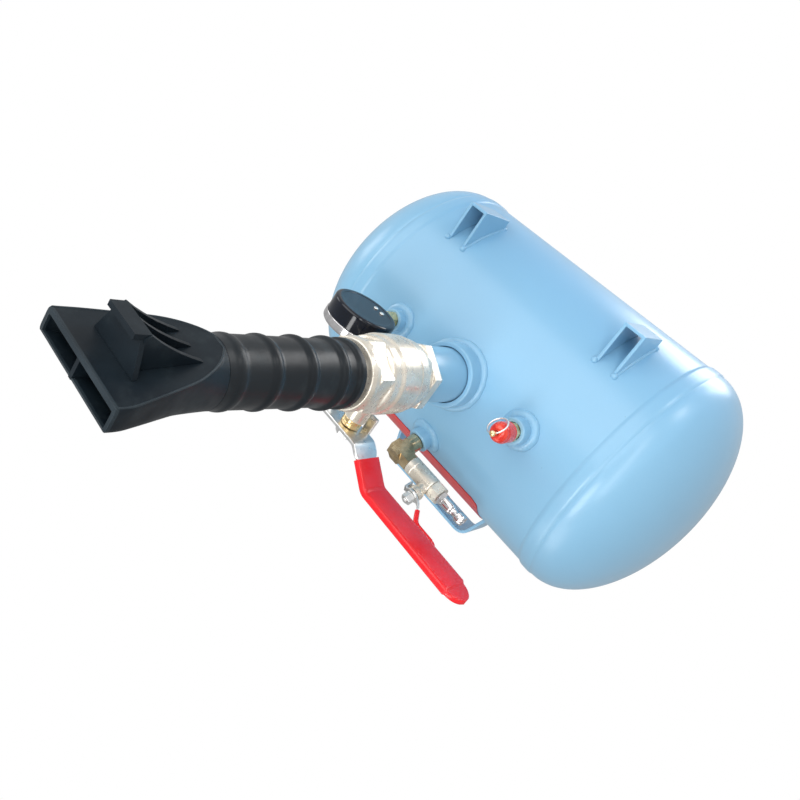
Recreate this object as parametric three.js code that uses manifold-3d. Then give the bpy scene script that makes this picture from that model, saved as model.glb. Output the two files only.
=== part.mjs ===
// Bead seater blaster tank: a steel air tank lying on its side, with a quick-opening ball valve and
// a fan nozzle on its front, a pressure gauge, a relief valve and a fill line around the outlet.
//
// Every solid is drawn in the tank frame, in millimetres: x runs along the tank's axis, -y is the
// way the nozzle blows, +z is up and the origin is on the tank's axis over the outlet's middle.
// The exported group moves that frame so that the origin lies under the middle, on the ground.

import * as THREE from 'three';
import { mergeVertices } from 'three/addons/utils/BufferGeometryUtils.js';
import { ConvexGeometry } from 'three/addons/geometries/ConvexGeometry.js';
import Module from 'manifold-3d';

const wasm = await Module();
wasm.setup();

// ---- driving dimensions ----

const GAP = 0.3; // clearance between neighbouring pieces

const TANK_R = 125;
const TANK_WALL = 2.3;
const TANK_X = -2; // middle of the tank along its axis
const SEAM_HALF = 147.4; // tank middle to either weld seam
const BAND_WIDTH = 12; // raised band of the shell at each seam
const BAND_RISE = 1.5;
const DOME_DEPTH = 65.6;
const JOGGLE = 12; // depth of the dome's rim inside the shell
const TANK_SIDES = 40;

const FOOT_X = [-92, 94.6];
const FOOT_WIDTH = 21.4;
const FOOT_WALL = 3;
const FOOT_Y = [-91.4, -44.4];
const FOOT_Z = -(TANK_R + BAND_RISE);

const HANDLE_WIDTH = 36;
const HANDLE_THICK = 3.4;
const HANDLE_Z = 162.8; // middle of the grip bar
const HANDLE_TOP_X = [-65, 50];
const HANDLE_FOOT_X = [-81, 67];

const BUNG_BORE_R = 7.8; // threads of the three small bungs
const OUTLET_BORE_R = 25;
const PIPE_R = 24.3;
const PIPE_THREAD_R = 23;
const PIPE_BORE_R = 21;

const VALVE_START = 190.6; // rear face of the valve's hexagonal end, along the blowing direction
const STEM_Y = -230; // middle of the main ball and its stem
const BALL_R = 25;
const BORE_R = 19;
const CAVITY_R = 26;
const BODY_R = 31.8;
const STEM_R = 5;
const STUD_R = 4; // the stem's threaded end
const TONGUE_HALF = 3.3; // half thickness of the stem's tongue in the ball's slot
const LEVER_Z = 55.5; // middle of the lever's plate
const GRIP_Z = 77.5; // middle of the lever's grip
const LEVER_THICK = 3;
const LEVER_WIDTH = 27.5;
const LEVER_TANG_WIDTH = 23; // lever strip inside the sleeve
const LEVER_TIP_X = -157;
const LEVER_BEND_X = [-20, -51]; // foot and head of the lever's crank
const SLEEVE_TIP_X = LEVER_TIP_X - 3;
const SLEEVE_THICK = 6.4;
const SLEEVE_WIDTH = 27.8;

const NOZZLE_START = 285.5; // distances along the blowing direction, from the tank's axis
const HEAD_START = 413;
const HEAD_MIDDLE = 446;
const MOUTH_START = 489;
const MOUTH_END = 497;
const MOUTH_HALF = 41.5;
const MOUTH_Z = [-10.4, 5.3];
const MOUTH_ROOM_HALF = 38.4;
const MOUTH_ROOM_Z = [-6.7, 3.8];
const NOZZLE_WALL = 3;
const DIVIDER_HALF = 1.5;
const NOZZLE_RIBS = [[308, 26.7], [340, 26], [372.5, 25.2], [402, 24.5]];

const RELIEF = { x: -79.4, z: -6 };
const EYE = 170.4; // the pull ring's hole across the pin, along the blowing direction
const RING_R = 9;
const RING_WIRE = 0.7;
const RING_LEAN = THREE.MathUtils.degToRad(51); // from square across the pin towards the tank
const SPRING_R = 4.3;
const SPRING_WIRE = 0.55;
const SPRING_ENDS = [146.2, 162.1]; // middle of the end coils, along the blowing direction
const SPRING_COILS = 4;

const GAUGE = { x: 78.2, y: -183.4, z: 0 };
const GAUGE_STEM_Z = -1.8; // the stem enters the case below the gauge's middle
const CASE_R = 30.5;
const SECTOR_REACH = 20.6; // needle axis to sector pivot
const SECTOR_R = 18;
const PINION_R = 2.2;

const FILL_ANGLE = 35.3; // fill line's turn from the blowing direction towards the top, in degrees
const FILL_X = -4.5;
const FILL_D = 157; // fill line's axis to the tank's axis
const FILL_STEM_X = -46;
const FILL_BALL_R = 6;
const FILL_STEM_R = 2;
const FILL_HEX = 17; // across flats
const FILL_BORE_R = 4;
const FILL_LEVER_LINE = [[-36, 177], [-55, 177], [-70, 194], [-93, 194]]; // middle of the strip, [x, z]
const FILL_LEVER_THICK = 2;
const FILL_LEVER_HALF = 4; // half width

const LABEL_HALF = 80;
const LABEL_ANGLE = [45, 78]; // from the blowing direction towards the top, in degrees

// ---- solids ----

const ALONG_X = new THREE.Vector3(1, 0, 0);
const BACK_X = new THREE.Vector3(-1, 0, 0);
const FORWARD = new THREE.Vector3(0, -1, 0);
const UP = new THREE.Vector3(0, 0, 1);

// Makes a solid of a closed geometry, leaving out triangles that meet at a lathe's poles.
function solid(geometry) {
  const bare = geometry.index ? geometry.toNonIndexed() : geometry.clone();
  bare.deleteAttribute('normal');
  bare.deleteAttribute('uv');
  const merged = mergeVertices(bare, 1e-4);
  const corners = merged.index.array;
  const kept = [];
  for (let i = 0; i < corners.length; i += 3) {
    const [a, b, c] = [corners[i], corners[i + 1], corners[i + 2]];
    if (a !== b && b !== c && c !== a) kept.push(a, b, c);
  }
  return new wasm.Manifold(new wasm.Mesh({
    numProp: 3,
    vertProperties: new Float32Array(merged.attributes.position.array),
    triVerts: new Uint32Array(kept),
  }));
}

// Turns a profile of [radius, distance along the axis] pairs, listed anticlockwise, about an axis.
function turned(profile, axis, { at = [0, 0, 0], sides = 24 } = {}) {
  const points = profile.map(([r, h]) => new THREE.Vector2(r, h));
  if (profile[0][0] > 0) points.push(points[0].clone());
  const geometry = new THREE.LatheGeometry(points, sides);
  geometry.applyQuaternion(new THREE.Quaternion().setFromUnitVectors(new THREE.Vector3(0, 1, 0), axis));
  geometry.translate(...at);
  return solid(geometry);
}

const tube = (inner, outer, from, to, axis, options) =>
  turned([[inner, from], [outer, from], [outer, to], [inner, to]], axis, options);

const rod = (r, from, to, axis, options) =>
  turned([[0, from], [r, from], [r, to], [0, to]], axis, options);

// A hexagonal rod about an axis.
function hexRod(acrossFlats, from, to, axis, at = [0, 0, 0]) {
  const cornerR = acrossFlats / Math.sqrt(3);
  const geometry = new THREE.CylinderGeometry(cornerR, cornerR, to - from, 6);
  geometry.translate(0, (from + to) / 2, 0);
  geometry.applyQuaternion(new THREE.Quaternion().setFromUnitVectors(new THREE.Vector3(0, 1, 0), axis));
  geometry.translate(...at);
  return solid(geometry);
}

function box(xs, ys, zs) {
  const geometry = new THREE.BoxGeometry(xs[1] - xs[0], ys[1] - ys[0], zs[1] - zs[0]);
  geometry.translate((xs[0] + xs[1]) / 2, (ys[0] + ys[1]) / 2, (zs[0] + zs[1]) / 2);
  return solid(geometry);
}

function ball(r, at, sides = 20) {
  const geometry = new THREE.SphereGeometry(r, sides, sides / 2);
  geometry.translate(...at);
  return solid(geometry);
}

// Extrudes an outline of [x, z] points across y, between two y values.
function sidePlate(outline, ys) {
  const shape = new THREE.Shape(outline.map(([x, z]) => new THREE.Vector2(x, z)));
  const geometry = new THREE.ExtrudeGeometry(shape, { depth: ys[1] - ys[0], bevelEnabled: false });
  geometry.rotateX(Math.PI / 2); // shape's second axis becomes z, its depth runs towards -y
  geometry.translate(0, ys[1], 0);
  return solid(geometry);
}

// Extrudes an outline of [x, y] points between two z values.
function planPlate(outline, zs) {
  const shape = new THREE.Shape(outline.map(([x, y]) => new THREE.Vector2(x, y)));
  const geometry = new THREE.ExtrudeGeometry(shape, { depth: zs[1] - zs[0], bevelEnabled: false });
  geometry.translate(0, 0, zs[0]);
  return solid(geometry);
}

// The outline of a strip of even thickness along a centre line of [x, z] points.
function stripOutline(line, thickness) {
  const points = line.map(([x, z]) => new THREE.Vector2(x, z));
  const sides = [[], []];
  points.forEach((point, i) => {
    const before = points[Math.max(i - 1, 0)];
    const after = points[Math.min(i + 1, points.length - 1)];
    const directions = [point.clone().sub(before), after.clone().sub(point)]
      .filter((step) => step.length() > 0)
      .map((step) => step.normalize());
    const along = directions.reduce((sum, step) => sum.add(step), new THREE.Vector2()).normalize();
    const across = new THREE.Vector2(-along.y, along.x);
    const mitre = thickness / 2 / along.dot(directions[0]);
    sides[0].push(point.clone().addScaledVector(across, mitre));
    sides[1].unshift(point.clone().addScaledVector(across, -mitre));
  });
  return [...sides[0], ...sides[1]].map((point) => [point.x, point.y]);
}

// Rounds the inner corners of a line of [x, z] points.
function roundedLine(line, radius, steps = 3) {
  const points = line.map(([x, z]) => new THREE.Vector2(x, z));
  const rounded = [line[0]];
  for (let i = 1; i < points.length - 1; i += 1) {
    const towards = (other) => other.clone().sub(points[i]).normalize().multiplyScalar(radius).add(points[i]);
    const bend = new THREE.QuadraticBezierCurve(towards(points[i - 1]), points[i], towards(points[i + 1]));
    bend.getPoints(steps).forEach((point) => rounded.push([point.x, point.y]));
  }
  rounded.push(line[line.length - 1]);
  return rounded;
}

// The smallest convex solid around some [x, y, z] points.
const wrapped = (points) => solid(new ConvexGeometry(points.map((point) => new THREE.Vector3(...point))));

const joined = (first, ...others) => others.reduce((sum, other) => sum.add(other), first);
const cut = (first, ...others) => others.reduce((rest, other) => rest.subtract(other), first);

// ---- materials ----

const paint = (color, roughness, metalness) => ({ color, roughness, metalness });
const BLUE_ENAMEL = paint(0x8fc9ee, 0.28, 0.0);
const RED_LABEL = paint(0xd8202a, 0.35, 0.0);
const PLATED_BRASS = paint(0xb9b2a6, 0.3, 0.95);
const BRASS = paint(0xc9a25a, 0.35, 0.95);
const AGED_BRASS = paint(0x8f7a4e, 0.5, 0.85);
const STEEL = paint(0xb8bcbc, 0.35, 0.95);
const CHROME = paint(0xd8dadc, 0.12, 1.0);
const RED_VINYL = paint(0xe8212c, 0.25, 0.0);
const BLACK_PLASTIC = paint(0x232b30, 0.5, 0.0);
const BLACK_GLOSS = paint(0x0c0d0f, 0.15, 0.0);
const SEAT_WHITE = paint(0xeceae4, 0.6, 0.0);
const GLASS = paint(0xdfe8ea, 0.05, 0.0);
const DIAL_WHITE = paint(0xf4f3ee, 0.6, 0.0);
const RED_CAP = paint(0xc23a22, 0.4, 0.0);

// ---- groups: what stays with the tank, and the turned group of the fill line ----

const tankFrame = new THREE.Group();
const fillLine = new THREE.Group(); // its z points out of the tank, its x stays the tank's x
fillLine.rotation.x = THREE.MathUtils.degToRad(90 - FILL_ANGLE);
tankFrame.add(fillLine);

function place(name, look, shape, group = tankFrame) {
  const { vertProperties, triVerts } = shape.getMesh();
  const geometry = new THREE.BufferGeometry();
  geometry.setAttribute('position', new THREE.BufferAttribute(new Float32Array(vertProperties), 3));
  geometry.setIndex(new THREE.BufferAttribute(new Uint32Array(triVerts), 1));
  const piece = new THREE.Mesh(geometry, new THREE.MeshStandardMaterial(look));
  piece.name = name;
  group.add(piece);
}

// ---- tank ----

const tankCylinder = (r) => rod(r, -SEAM_HALF - 40, SEAM_HALF + 40, ALONG_X, { sides: TANK_SIDES });
const outsideTank = tankCylinder(TANK_R + GAP);

const shellInner = TANK_R - TANK_WALL;
const bandEdge = SEAM_HALF - BAND_WIDTH;
const shell = turned([
  [shellInner, -SEAM_HALF], [TANK_R + BAND_RISE, -SEAM_HALF],
  [TANK_R + BAND_RISE, -bandEdge], [TANK_R, -bandEdge + BAND_RISE],
  [TANK_R, bandEdge - BAND_RISE], [TANK_R + BAND_RISE, bandEdge],
  [TANK_R + BAND_RISE, SEAM_HALF], [shellInner, SEAM_HALF],
], ALONG_X, { at: [TANK_X, 0, 0], sides: TANK_SIDES });

const outletHole = rod(OUTLET_BORE_R, 100, 140, FORWARD);
const reliefHole = rod(BUNG_BORE_R, 100, 140, FORWARD, { at: [RELIEF.x, 0, RELIEF.z], sides: 16 });
const gaugeHole = rod(BUNG_BORE_R, 100, 140, FORWARD, { at: [GAUGE.x, 0, GAUGE.z], sides: 16 });
const fillHole = rod(BUNG_BORE_R, 100, 140, UP, { at: [FILL_X, 0, 0], sides: 16 })
  .rotate([90 - FILL_ANGLE, 0, 0]);
place('tank_shell', BLUE_ENAMEL, cut(shell, outletHole, reliefHole, gaugeHole, fillHole));

// A domed end, whose joggled rim sits inside the shell.
function domedEnd(axis) {
  const rimInner = shellInner - GAP - TANK_WALL;
  const arc = (r, depth, steps) => Array.from({ length: steps + 1 }, (_, i) => {
    const angle = (Math.PI / 2) * (i / steps);
    return [i === steps ? 0 : r * Math.cos(angle), depth * Math.sin(angle)];
  });
  const profile = [
    ...arc(rimInner, DOME_DEPTH - TANK_WALL, 4).reverse(),
    [rimInner, -JOGGLE], [shellInner - GAP, -JOGGLE],
    [shellInner - GAP, GAP], [TANK_R, GAP],
    ...arc(TANK_R, DOME_DEPTH, 8).slice(1),
  ];
  const away = axis.clone().multiplyScalar(SEAM_HALF);
  return turned(profile, axis, { at: [TANK_X + away.x, 0, 0], sides: TANK_SIDES });
}
place('end_cap_left', BLUE_ENAMEL, domedEnd(BACK_X));
place('end_cap_right', BLUE_ENAMEL, domedEnd(ALONG_X));

// A welded collar on the tank, with its fillet, saddle-cut to the shell. The fill line's is drawn upright.
function collar(bore, outer, weld, height, axis, at) {
  const ring = turned([
    [bore, 100], [weld, 100], [weld, 126.5], [outer, 130], [outer, height], [bore, height],
  ], axis, { at, sides: 20 });
  return ring.subtract(axis === UP ? outsideTank.rotate([FILL_ANGLE - 90, 0, 0]) : outsideTank);
}
place('outlet_socket', BLUE_ENAMEL, collar(OUTLET_BORE_R, 29.5, 33.6, 142.5, FORWARD, [0, 0, 0]));
place('relief_bung', BLUE_ENAMEL, collar(BUNG_BORE_R, 11.7, 18, 140, FORWARD, [RELIEF.x, 0, RELIEF.z]));
place('gauge_bung', BLUE_ENAMEL, collar(BUNG_BORE_R, 11, 18, 138, FORWARD, [GAUGE.x, 0, GAUGE.z]));
place('fill_bung', BLUE_ENAMEL, collar(BUNG_BORE_R, 11.5, 18, 136.5, UP, [FILL_X, 0, 0]), fillLine);

// Each foot is a channel, open to the front and back, cut to the tank's curve.
FOOT_X.forEach((x, i) => {
  const half = FOOT_WIDTH / 2;
  const outer = box([x - half, x + half], FOOT_Y, [FOOT_Z, -70]);
  const inside = box(
    [x - half + FOOT_WALL, x + half - FOOT_WALL],
    [FOOT_Y[0] - 1, FOOT_Y[1] + 1],
    [FOOT_Z + FOOT_WALL, -60],
  );
  place(i === 0 ? 'foot_left' : 'foot_right', BLUE_ENAMEL, cut(outer, inside, outsideTank));
});

const handleLine = roundedLine([
  [HANDLE_FOOT_X[0], 118], [HANDLE_TOP_X[0], HANDLE_Z],
  [HANDLE_TOP_X[1], HANDLE_Z], [HANDLE_FOOT_X[1], 118],
], 9);
const handleStrip = sidePlate(stripOutline(handleLine, HANDLE_THICK), [-HANDLE_WIDTH / 2, HANDLE_WIDTH / 2]);
place('carry_handle', BLUE_ENAMEL, cut(handleStrip, outsideTank));

// The label wraps the shell between two angles.
const labelMiddle = (LABEL_ANGLE[0] + LABEL_ANGLE[1]) / 2;
const labelReach = 126 * Math.sin(THREE.MathUtils.degToRad((LABEL_ANGLE[1] - LABEL_ANGLE[0]) / 2));
const labelCorner = 8;
const labelShape = roundedLine([
  [0, -labelReach], [LABEL_HALF, -labelReach], [LABEL_HALF, labelReach],
  [-LABEL_HALF, labelReach], [-LABEL_HALF, -labelReach], [0, -labelReach],
], labelCorner);
const labelSkin = tube(TANK_R + GAP, TANK_R + GAP + 0.6, -LABEL_HALF - 5, LABEL_HALF + 5, ALONG_X, {
  sides: TANK_SIDES,
});
const labelCutter = planPlate(labelShape.slice(0, -1), [100, 135]).rotate([90 - labelMiddle, 0, 0]);
place('label_plate', RED_LABEL, labelSkin.intersect(labelCutter));

// ---- main valve ----

place('outlet_pipe', BLUE_ENAMEL, turned([
  [PIPE_BORE_R, 118], [PIPE_R, 118], [PIPE_R, VALVE_START - GAP],
  [PIPE_THREAD_R, VALVE_START - GAP], [PIPE_THREAD_R, 203], [PIPE_BORE_R, 203],
], FORWARD));

const endCap = joined(
  hexRod(52, VALVE_START, 200, FORWARD),
  turned([
    [0, 199], [26, 199], [27.5, 204], [29.5, 209],
    [30, 219.2], [28.2, 219.2], [28.2, 222.3], [0, 222.3],
  ], FORWARD),
);
const endCapBore = turned([
  [0, VALVE_START - 1], [PIPE_THREAD_R + GAP, VALVE_START - 1], [PIPE_THREAD_R + GAP, 203.5], [BORE_R, 203.5],
  [BORE_R, 208.5], [CAVITY_R, 208.5], [CAVITY_R, 223], [0, 223],
], FORWARD);
place('valve_end_cap', PLATED_BRASS, cut(endCap, endCapBore));

const bodyOuter = joined(
  turned([
    [0, 219.5], [31.5, 219.5], [31.5, 222.5], [31, 223], [BODY_R, 223.6],
    [BODY_R, 246.5], [30, 247.5], [30, 257.4], [25, 257.4], [25, 272.7],
    [28.5, 272.7], [28.5, 277], [27, 281], [0, 281],
  ], FORWARD),
  hexRod(53, 257, 273, FORWARD),
  turned([[0, 15], [10, 15], [10, 46], [0, 46]], UP, { at: [0, STEM_Y, 0], sides: 20 }),
);
const bodyBore = turned([
  [0, 219], [28.5, 219], [28.5, 222.6], [CAVITY_R, 222.6], [CAVITY_R, 251.5],
  [BORE_R, 251.5], [BORE_R, 266], [21, 266], [21, 282], [0, 282],
], FORWARD);
const stemBore = turned([
  [0, 18], [7.3, 18], [7.3, 29.5], [STEM_R + GAP, 29.5], [STEM_R + GAP, 33.7],
  [6.8, 33.7], [6.8, 47], [0, 47],
], UP, { at: [0, STEM_Y, 0], sides: 20 });
place('valve_body', PLATED_BRASS, cut(bodyOuter, bodyBore, stemBore));

const ballSeatRoom = ball(BALL_R + 1, [0, STEM_Y, 0]);
const seatRing = (from, to) => tube(BORE_R + GAP, CAVITY_R - GAP, from, to, FORWARD).subtract(ballSeatRoom);
place('seat_ring_rear', SEAT_WHITE, seatRing(208.8, 217));
place('seat_ring_front', SEAT_WHITE, seatRing(243, 251.2));

const stemAt = { at: [0, STEM_Y, 0], sides: 20 };
place('stem_packing', SEAT_WHITE, tube(STEM_R + GAP, 6.5, 34, 39.7, UP, stemAt));
place('gland_nut', BRASS, turned([
  [STEM_R + GAP, 40], [6.5, 40], [6.5, 46.3], [8.5, 46.3], [8.5, 53], [8, 53.6], [STEM_R + GAP, 53.6],
], UP, stemAt));

const stemTongue = box([-5, 5], [STEM_Y - TONGUE_HALF, STEM_Y + TONGUE_HALF], [21, 26.5]);
place('valve_stem', STEEL, joined(
  turned([
    [0, 26.4], [7, 26.4], [7, 29.2], [STEM_R, 29.2], [STEM_R, 53.6], [STUD_R, 53.6],
    [STUD_R, 65.4], [STUD_R - 0.6, 66], [0, 66],
  ], UP, stemAt),
  stemTongue,
));
const ballSlot = box([-30, 30], [STEM_Y - TONGUE_HALF - GAP, STEM_Y + TONGUE_HALF + GAP], [20.7, 27]);
place('valve_ball', CHROME, cut(
  ball(BALL_R, [0, STEM_Y, 0]),
  rod(BORE_R, -30, 30, ALONG_X, { at: [0, STEM_Y, 0] }),
  ballSlot,
));

// The lever is a cranked strip with two stop lugs; it points to -x with the valve shut.
const leverLine = roundedLine([
  [22, LEVER_Z], [LEVER_BEND_X[0], LEVER_Z], [LEVER_BEND_X[1], GRIP_Z], [LEVER_TIP_X, GRIP_Z],
], 6);
const tipOutline = (from, tip, half, radius) => {
  const corner = (x, y, start) => Array.from({ length: 4 }, (_, i) => {
    const angle = start + (Math.PI / 2) * (i / 3);
    return [x + radius * Math.cos(angle), y + radius * Math.sin(angle)];
  });
  return [
    [from, STEM_Y - half], [from, STEM_Y + half],
    ...corner(tip + radius, STEM_Y + half - radius, Math.PI / 2),
    ...corner(tip + radius, STEM_Y - half + radius, Math.PI),
  ];
};
const leverStrip = sidePlate(
  stripOutline(leverLine, LEVER_THICK),
  [STEM_Y - LEVER_WIDTH / 2, STEM_Y + LEVER_WIDTH / 2],
);
const leverPlan = joined(
  planPlate(tipOutline(-30, LEVER_TIP_X, LEVER_TANG_WIDTH / 2, 9), [30, 100]),
  box([-27, 30], [STEM_Y - LEVER_WIDTH / 2, STEM_Y + LEVER_WIDTH / 2], [30, 100]),
  wrapped([[-27, LEVER_WIDTH], [-31, LEVER_TANG_WIDTH]].flatMap(([x, width]) => [-1, 1].flatMap(
    (side) => [30, 100].map((z) => [x, STEM_Y + (side * width) / 2, z]),
  ))),
);
place('main_lever', STEEL, cut(
  joined(
    leverStrip.intersect(leverPlan),
    box([21, 24], [STEM_Y - 2, STEM_Y + LEVER_WIDTH / 2], [43, LEVER_Z + LEVER_THICK / 2]),
    box([-12.4, -4], [STEM_Y + LEVER_WIDTH / 2 - 1, STEM_Y + LEVER_WIDTH / 2 + 2], [39.5, 57]),
  ),
  rod(STUD_R + GAP, 50, 60, UP, stemAt),
));

const crankSlope = (GRIP_Z - LEVER_Z) / (LEVER_BEND_X[0] - LEVER_BEND_X[1]);
const onCrank = (x) => [x, LEVER_Z + (LEVER_BEND_X[0] - x) * crankSlope];
const crankHead = [LEVER_BEND_X[1], GRIP_Z];
const sleeveLine = roundedLine([onCrank(-32), crankHead, [SLEEVE_TIP_X, GRIP_Z]], 6);
const sleeveRoomLine = roundedLine([onCrank(-28), crankHead, [LEVER_TIP_X - GAP, GRIP_Z]], 6);
const sleeveOuter = sidePlate(
  stripOutline(sleeveLine, SLEEVE_THICK),
  [STEM_Y - SLEEVE_WIDTH / 2, STEM_Y + SLEEVE_WIDTH / 2],
).intersect(planPlate(tipOutline(0, SLEEVE_TIP_X, SLEEVE_WIDTH / 2, 13), [30, 100]));
const sleeveRoom = sidePlate(
  stripOutline(sleeveRoomLine, LEVER_THICK + 2 * GAP),
  [STEM_Y - LEVER_TANG_WIDTH / 2 - GAP, STEM_Y + LEVER_TANG_WIDTH / 2 + GAP],
);
place('main_lever_sleeve', RED_VINYL, cut(sleeveOuter, sleeveRoom));

place('main_lever_nut', STEEL, cut(
  hexRod(14, 57.3, 64, UP, [0, STEM_Y, 0]),
  rod(STUD_R + GAP, 50, 70, UP, stemAt),
));

// ---- nozzle: one moulding, drawn as its tube, its fan head and its rim hook ----

place('nozzle_nipple', STEEL, tube(17, 20.7, 266.4, 299.7, FORWARD));

const ringOf = (r, distance, sides = 24) => Array.from({ length: sides }, (_, i) => {
  const angle = (2 * Math.PI * i) / sides;
  return [r * Math.sin(angle), -distance, r * Math.cos(angle)];
});
const headSection = (inset) => [
  [30, -17], [29.5, -12], [28, 6], [25, 11.5], [19, 14.6],
].flatMap(([x, z]) => {
  const across = x - inset;
  const height = z - Math.sign(z) * inset;
  return [[across, -HEAD_MIDDLE, height], [-across, -HEAD_MIDDLE, height]];
});
const mouthSection = (half, zs, distance) =>
  [-half, half].flatMap((x) => zs.map((z) => [x, -distance, z]));

const ribProfile = NOZZLE_RIBS.flatMap(([middle, r]) => {
  const base = 24.3 - (0.8 * (middle - 294)) / 119;
  return [[base, middle - 4], [r, middle - 2.2], [r, middle + 2.2], [base, middle + 4]];
});
place('nozzle_tube', BLACK_PLASTIC, turned([
  [21, NOZZLE_START], [25.6, NOZZLE_START], [26.3, 286.3], [26.3, 292.4], [24.3, 294],
  ...ribProfile, [23.5, HEAD_START - GAP], [20, HEAD_START - GAP], [20, 300], [21, 300],
], FORWARD));

const headOuter = joined(
  wrapped([...ringOf(23.5, HEAD_START), ...headSection(0)]),
  wrapped([...headSection(0), ...mouthSection(MOUTH_HALF, MOUTH_Z, MOUTH_START)]),
  box([-MOUTH_HALF, MOUTH_HALF], [-MOUTH_END, -MOUTH_START], MOUTH_Z),
);
const headInner = joined(
  wrapped([...ringOf(20, HEAD_START - 1), ...headSection(NOZZLE_WALL)]),
  wrapped([...headSection(NOZZLE_WALL), ...mouthSection(MOUTH_ROOM_HALF, MOUTH_ROOM_Z, MOUTH_START)]),
  box([-MOUTH_ROOM_HALF, MOUTH_ROOM_HALF], [-MOUTH_END - 1, -MOUTH_START + 0.1], MOUTH_ROOM_Z),
);
const dividerX = [-DIVIDER_HALF, DIVIDER_HALF];
const divider = box(dividerX, [-MOUTH_END, -455], [MOUTH_Z[0] + 1, MOUTH_Z[1] - 0.5])
  .add(box(dividerX, [-MOUTH_START, -455], [-13, 11]).intersect(headOuter));
place('nozzle_head', BLACK_PLASTIC, headOuter.subtract(headInner).add(divider));

// The hook that catches a wheel's rim: a wall under the head, with a lip and three ribs behind it.
const hookWall = sidePlate([[-23.7, -9.5], [-14.7, -32], [14.7, -32], [23.7, -9.5]], [-480, -477]);
const hookLip = box([-14.5, 14.5], [-485, -474.5], [-35.5, -31.9]);
const hookRib = (x) => {
  const hollowEdge = new THREE.QuadraticBezierCurve(
    new THREE.Vector2(-475, -35.5),
    new THREE.Vector2(-458, -25.5),
    new THREE.Vector2(-433, -19.6),
  );
  const outline = new THREE.Shape([
    new THREE.Vector2(-478, -9.5), new THREE.Vector2(-478, -33),
    ...hollowEdge.getPoints(5), new THREE.Vector2(-433, -18.5),
  ]);
  const geometry = new THREE.ExtrudeGeometry(outline, { depth: 3, bevelEnabled: false });
  geometry.rotateX(Math.PI / 2);
  geometry.rotateZ(Math.PI / 2);
  geometry.translate(x - 1.5, 0, 0);
  return solid(geometry);
};
const hook = joined(hookWall, hookLip, hookRib(-14), hookRib(0), hookRib(14));
place('nozzle_hook', BLACK_PLASTIC, hook.subtract(headOuter.translate([0, 0, -GAP])));

// ---- relief valve ----

const reliefAt = [RELIEF.x, 0, RELIEF.z];
const onRelief = { at: reliefAt, sides: 12 };
place('relief_body', BRASS, cut(
  joined(hexRod(15, 140.3, 147, FORWARD, reliefAt), rod(7.4, 121, 141, FORWARD, onRelief)),
  rod(3, 120, 148, FORWARD, onRelief),
  rod(6, 143, 148, FORWARD, onRelief),
));
place('relief_cap', RED_CAP, turned([
  [6, 147.3], [8.6, 147.3], [9, 148], [9, 160.5], [8.2, 161.5], [8.2, 163.5], [6.5, 166], [4.2, 167],
  [2.1, 167], [2.1, 163], [6, 163],
], FORWARD, { at: reliefAt, sides: 16 }));
place('relief_poppet', BRASS, tube(1.3, 5.4, 143.3, 145.3, FORWARD, onRelief));

// The ring passes through a hole across the pin and leans on the cap's rim.
const ringAxis = new THREE.Vector3(1, 0, 1).normalize();
const ringSide = new THREE.Vector3(1, 0, -1).normalize();
const ringAway = ringSide.clone().multiplyScalar(Math.cos(RING_LEAN))
  .addScaledVector(new THREE.Vector3(0, 1, 0), Math.sin(RING_LEAN));

place('relief_pin', BRASS, cut(
  turned([
    [0, 141], [1, 141], [1, 146], [1.7, 146.4], [1.7, 172], [2.5, 172.4], [2.5, 174.8], [0, 175.6],
  ], FORWARD, { at: reliefAt, sides: 12 }),
  rod(RING_WIRE + GAP, -4, 4, ringAxis, { at: [RELIEF.x, -EYE, RELIEF.z], sides: 10 }),
));

const ring = new THREE.TorusGeometry(RING_R, RING_WIRE, 6, 24);
ring.translate(0, RING_R, 0);
ring.applyMatrix4(new THREE.Matrix4().makeBasis(ringAxis, ringAway, ringAxis.clone().cross(ringAway)));
ring.translate(RELIEF.x, -EYE, RELIEF.z);
place('relief_ring', STEEL, solid(ring));

class Coil extends THREE.Curve {
  getPoint(t, target = new THREE.Vector3()) {
    const angle = 2 * Math.PI * SPRING_COILS * t;
    const along = THREE.MathUtils.lerp(SPRING_ENDS[0], SPRING_ENDS[1], t);
    return target.set(SPRING_R * Math.cos(angle), -along, SPRING_R * Math.sin(angle));
  }
}
const wireShape = new THREE.Shape().absarc(0, 0, SPRING_WIRE, 0, 2 * Math.PI);
const spring = new THREE.ExtrudeGeometry(wireShape, {
  extrudePath: new Coil(), steps: SPRING_COILS * 10, curveSegments: 2,
});
spring.translate(...reliefAt);
place('relief_spring', STEEL, solid(spring));

// ---- pressure gauge ----

const caseAt = { at: [GAUGE.x, GAUGE.y, GAUGE.z], sides: 28 };
const gaugeRod = (r, from, to, sides = 12) => rod(r, from, to, UP, { at: caseAt.at, sides });
const sectorPivot = [GAUGE.x, GAUGE.y + SECTOR_REACH, GAUGE.z];
place('gauge_case', BLACK_GLOSS, cut(
  joined(
    turned([
      [0, -10], [29, -10], [CASE_R, -8.5], [CASE_R, 6], [28.5, 6], [28.5, -8], [0, -8],
    ], UP, caseAt),
    gaugeRod(2.2, -9, -3),
    rod(1.2, -9, 0.5, UP, { at: sectorPivot, sides: 10 }),
  ),
  rod(4.7, 130, 160, FORWARD, { at: [GAUGE.x, 0, GAUGE_STEM_Z], sides: 16 }),
));
place('gauge_bezel', CHROME, turned([
  [26, 11.5], [29, 11.5], [29, 6.3], [31.3, 6.3], [31.3, 13.5], [30, 14.8], [27, 14.8],
], UP, caseAt));
place('gauge_lens', GLASS, gaugeRod(28.6, 9.4, 11.2, 28));
place('gauge_dial', DIAL_WHITE, tube(1.6, 28, 3, 4, UP, caseAt));
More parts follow.
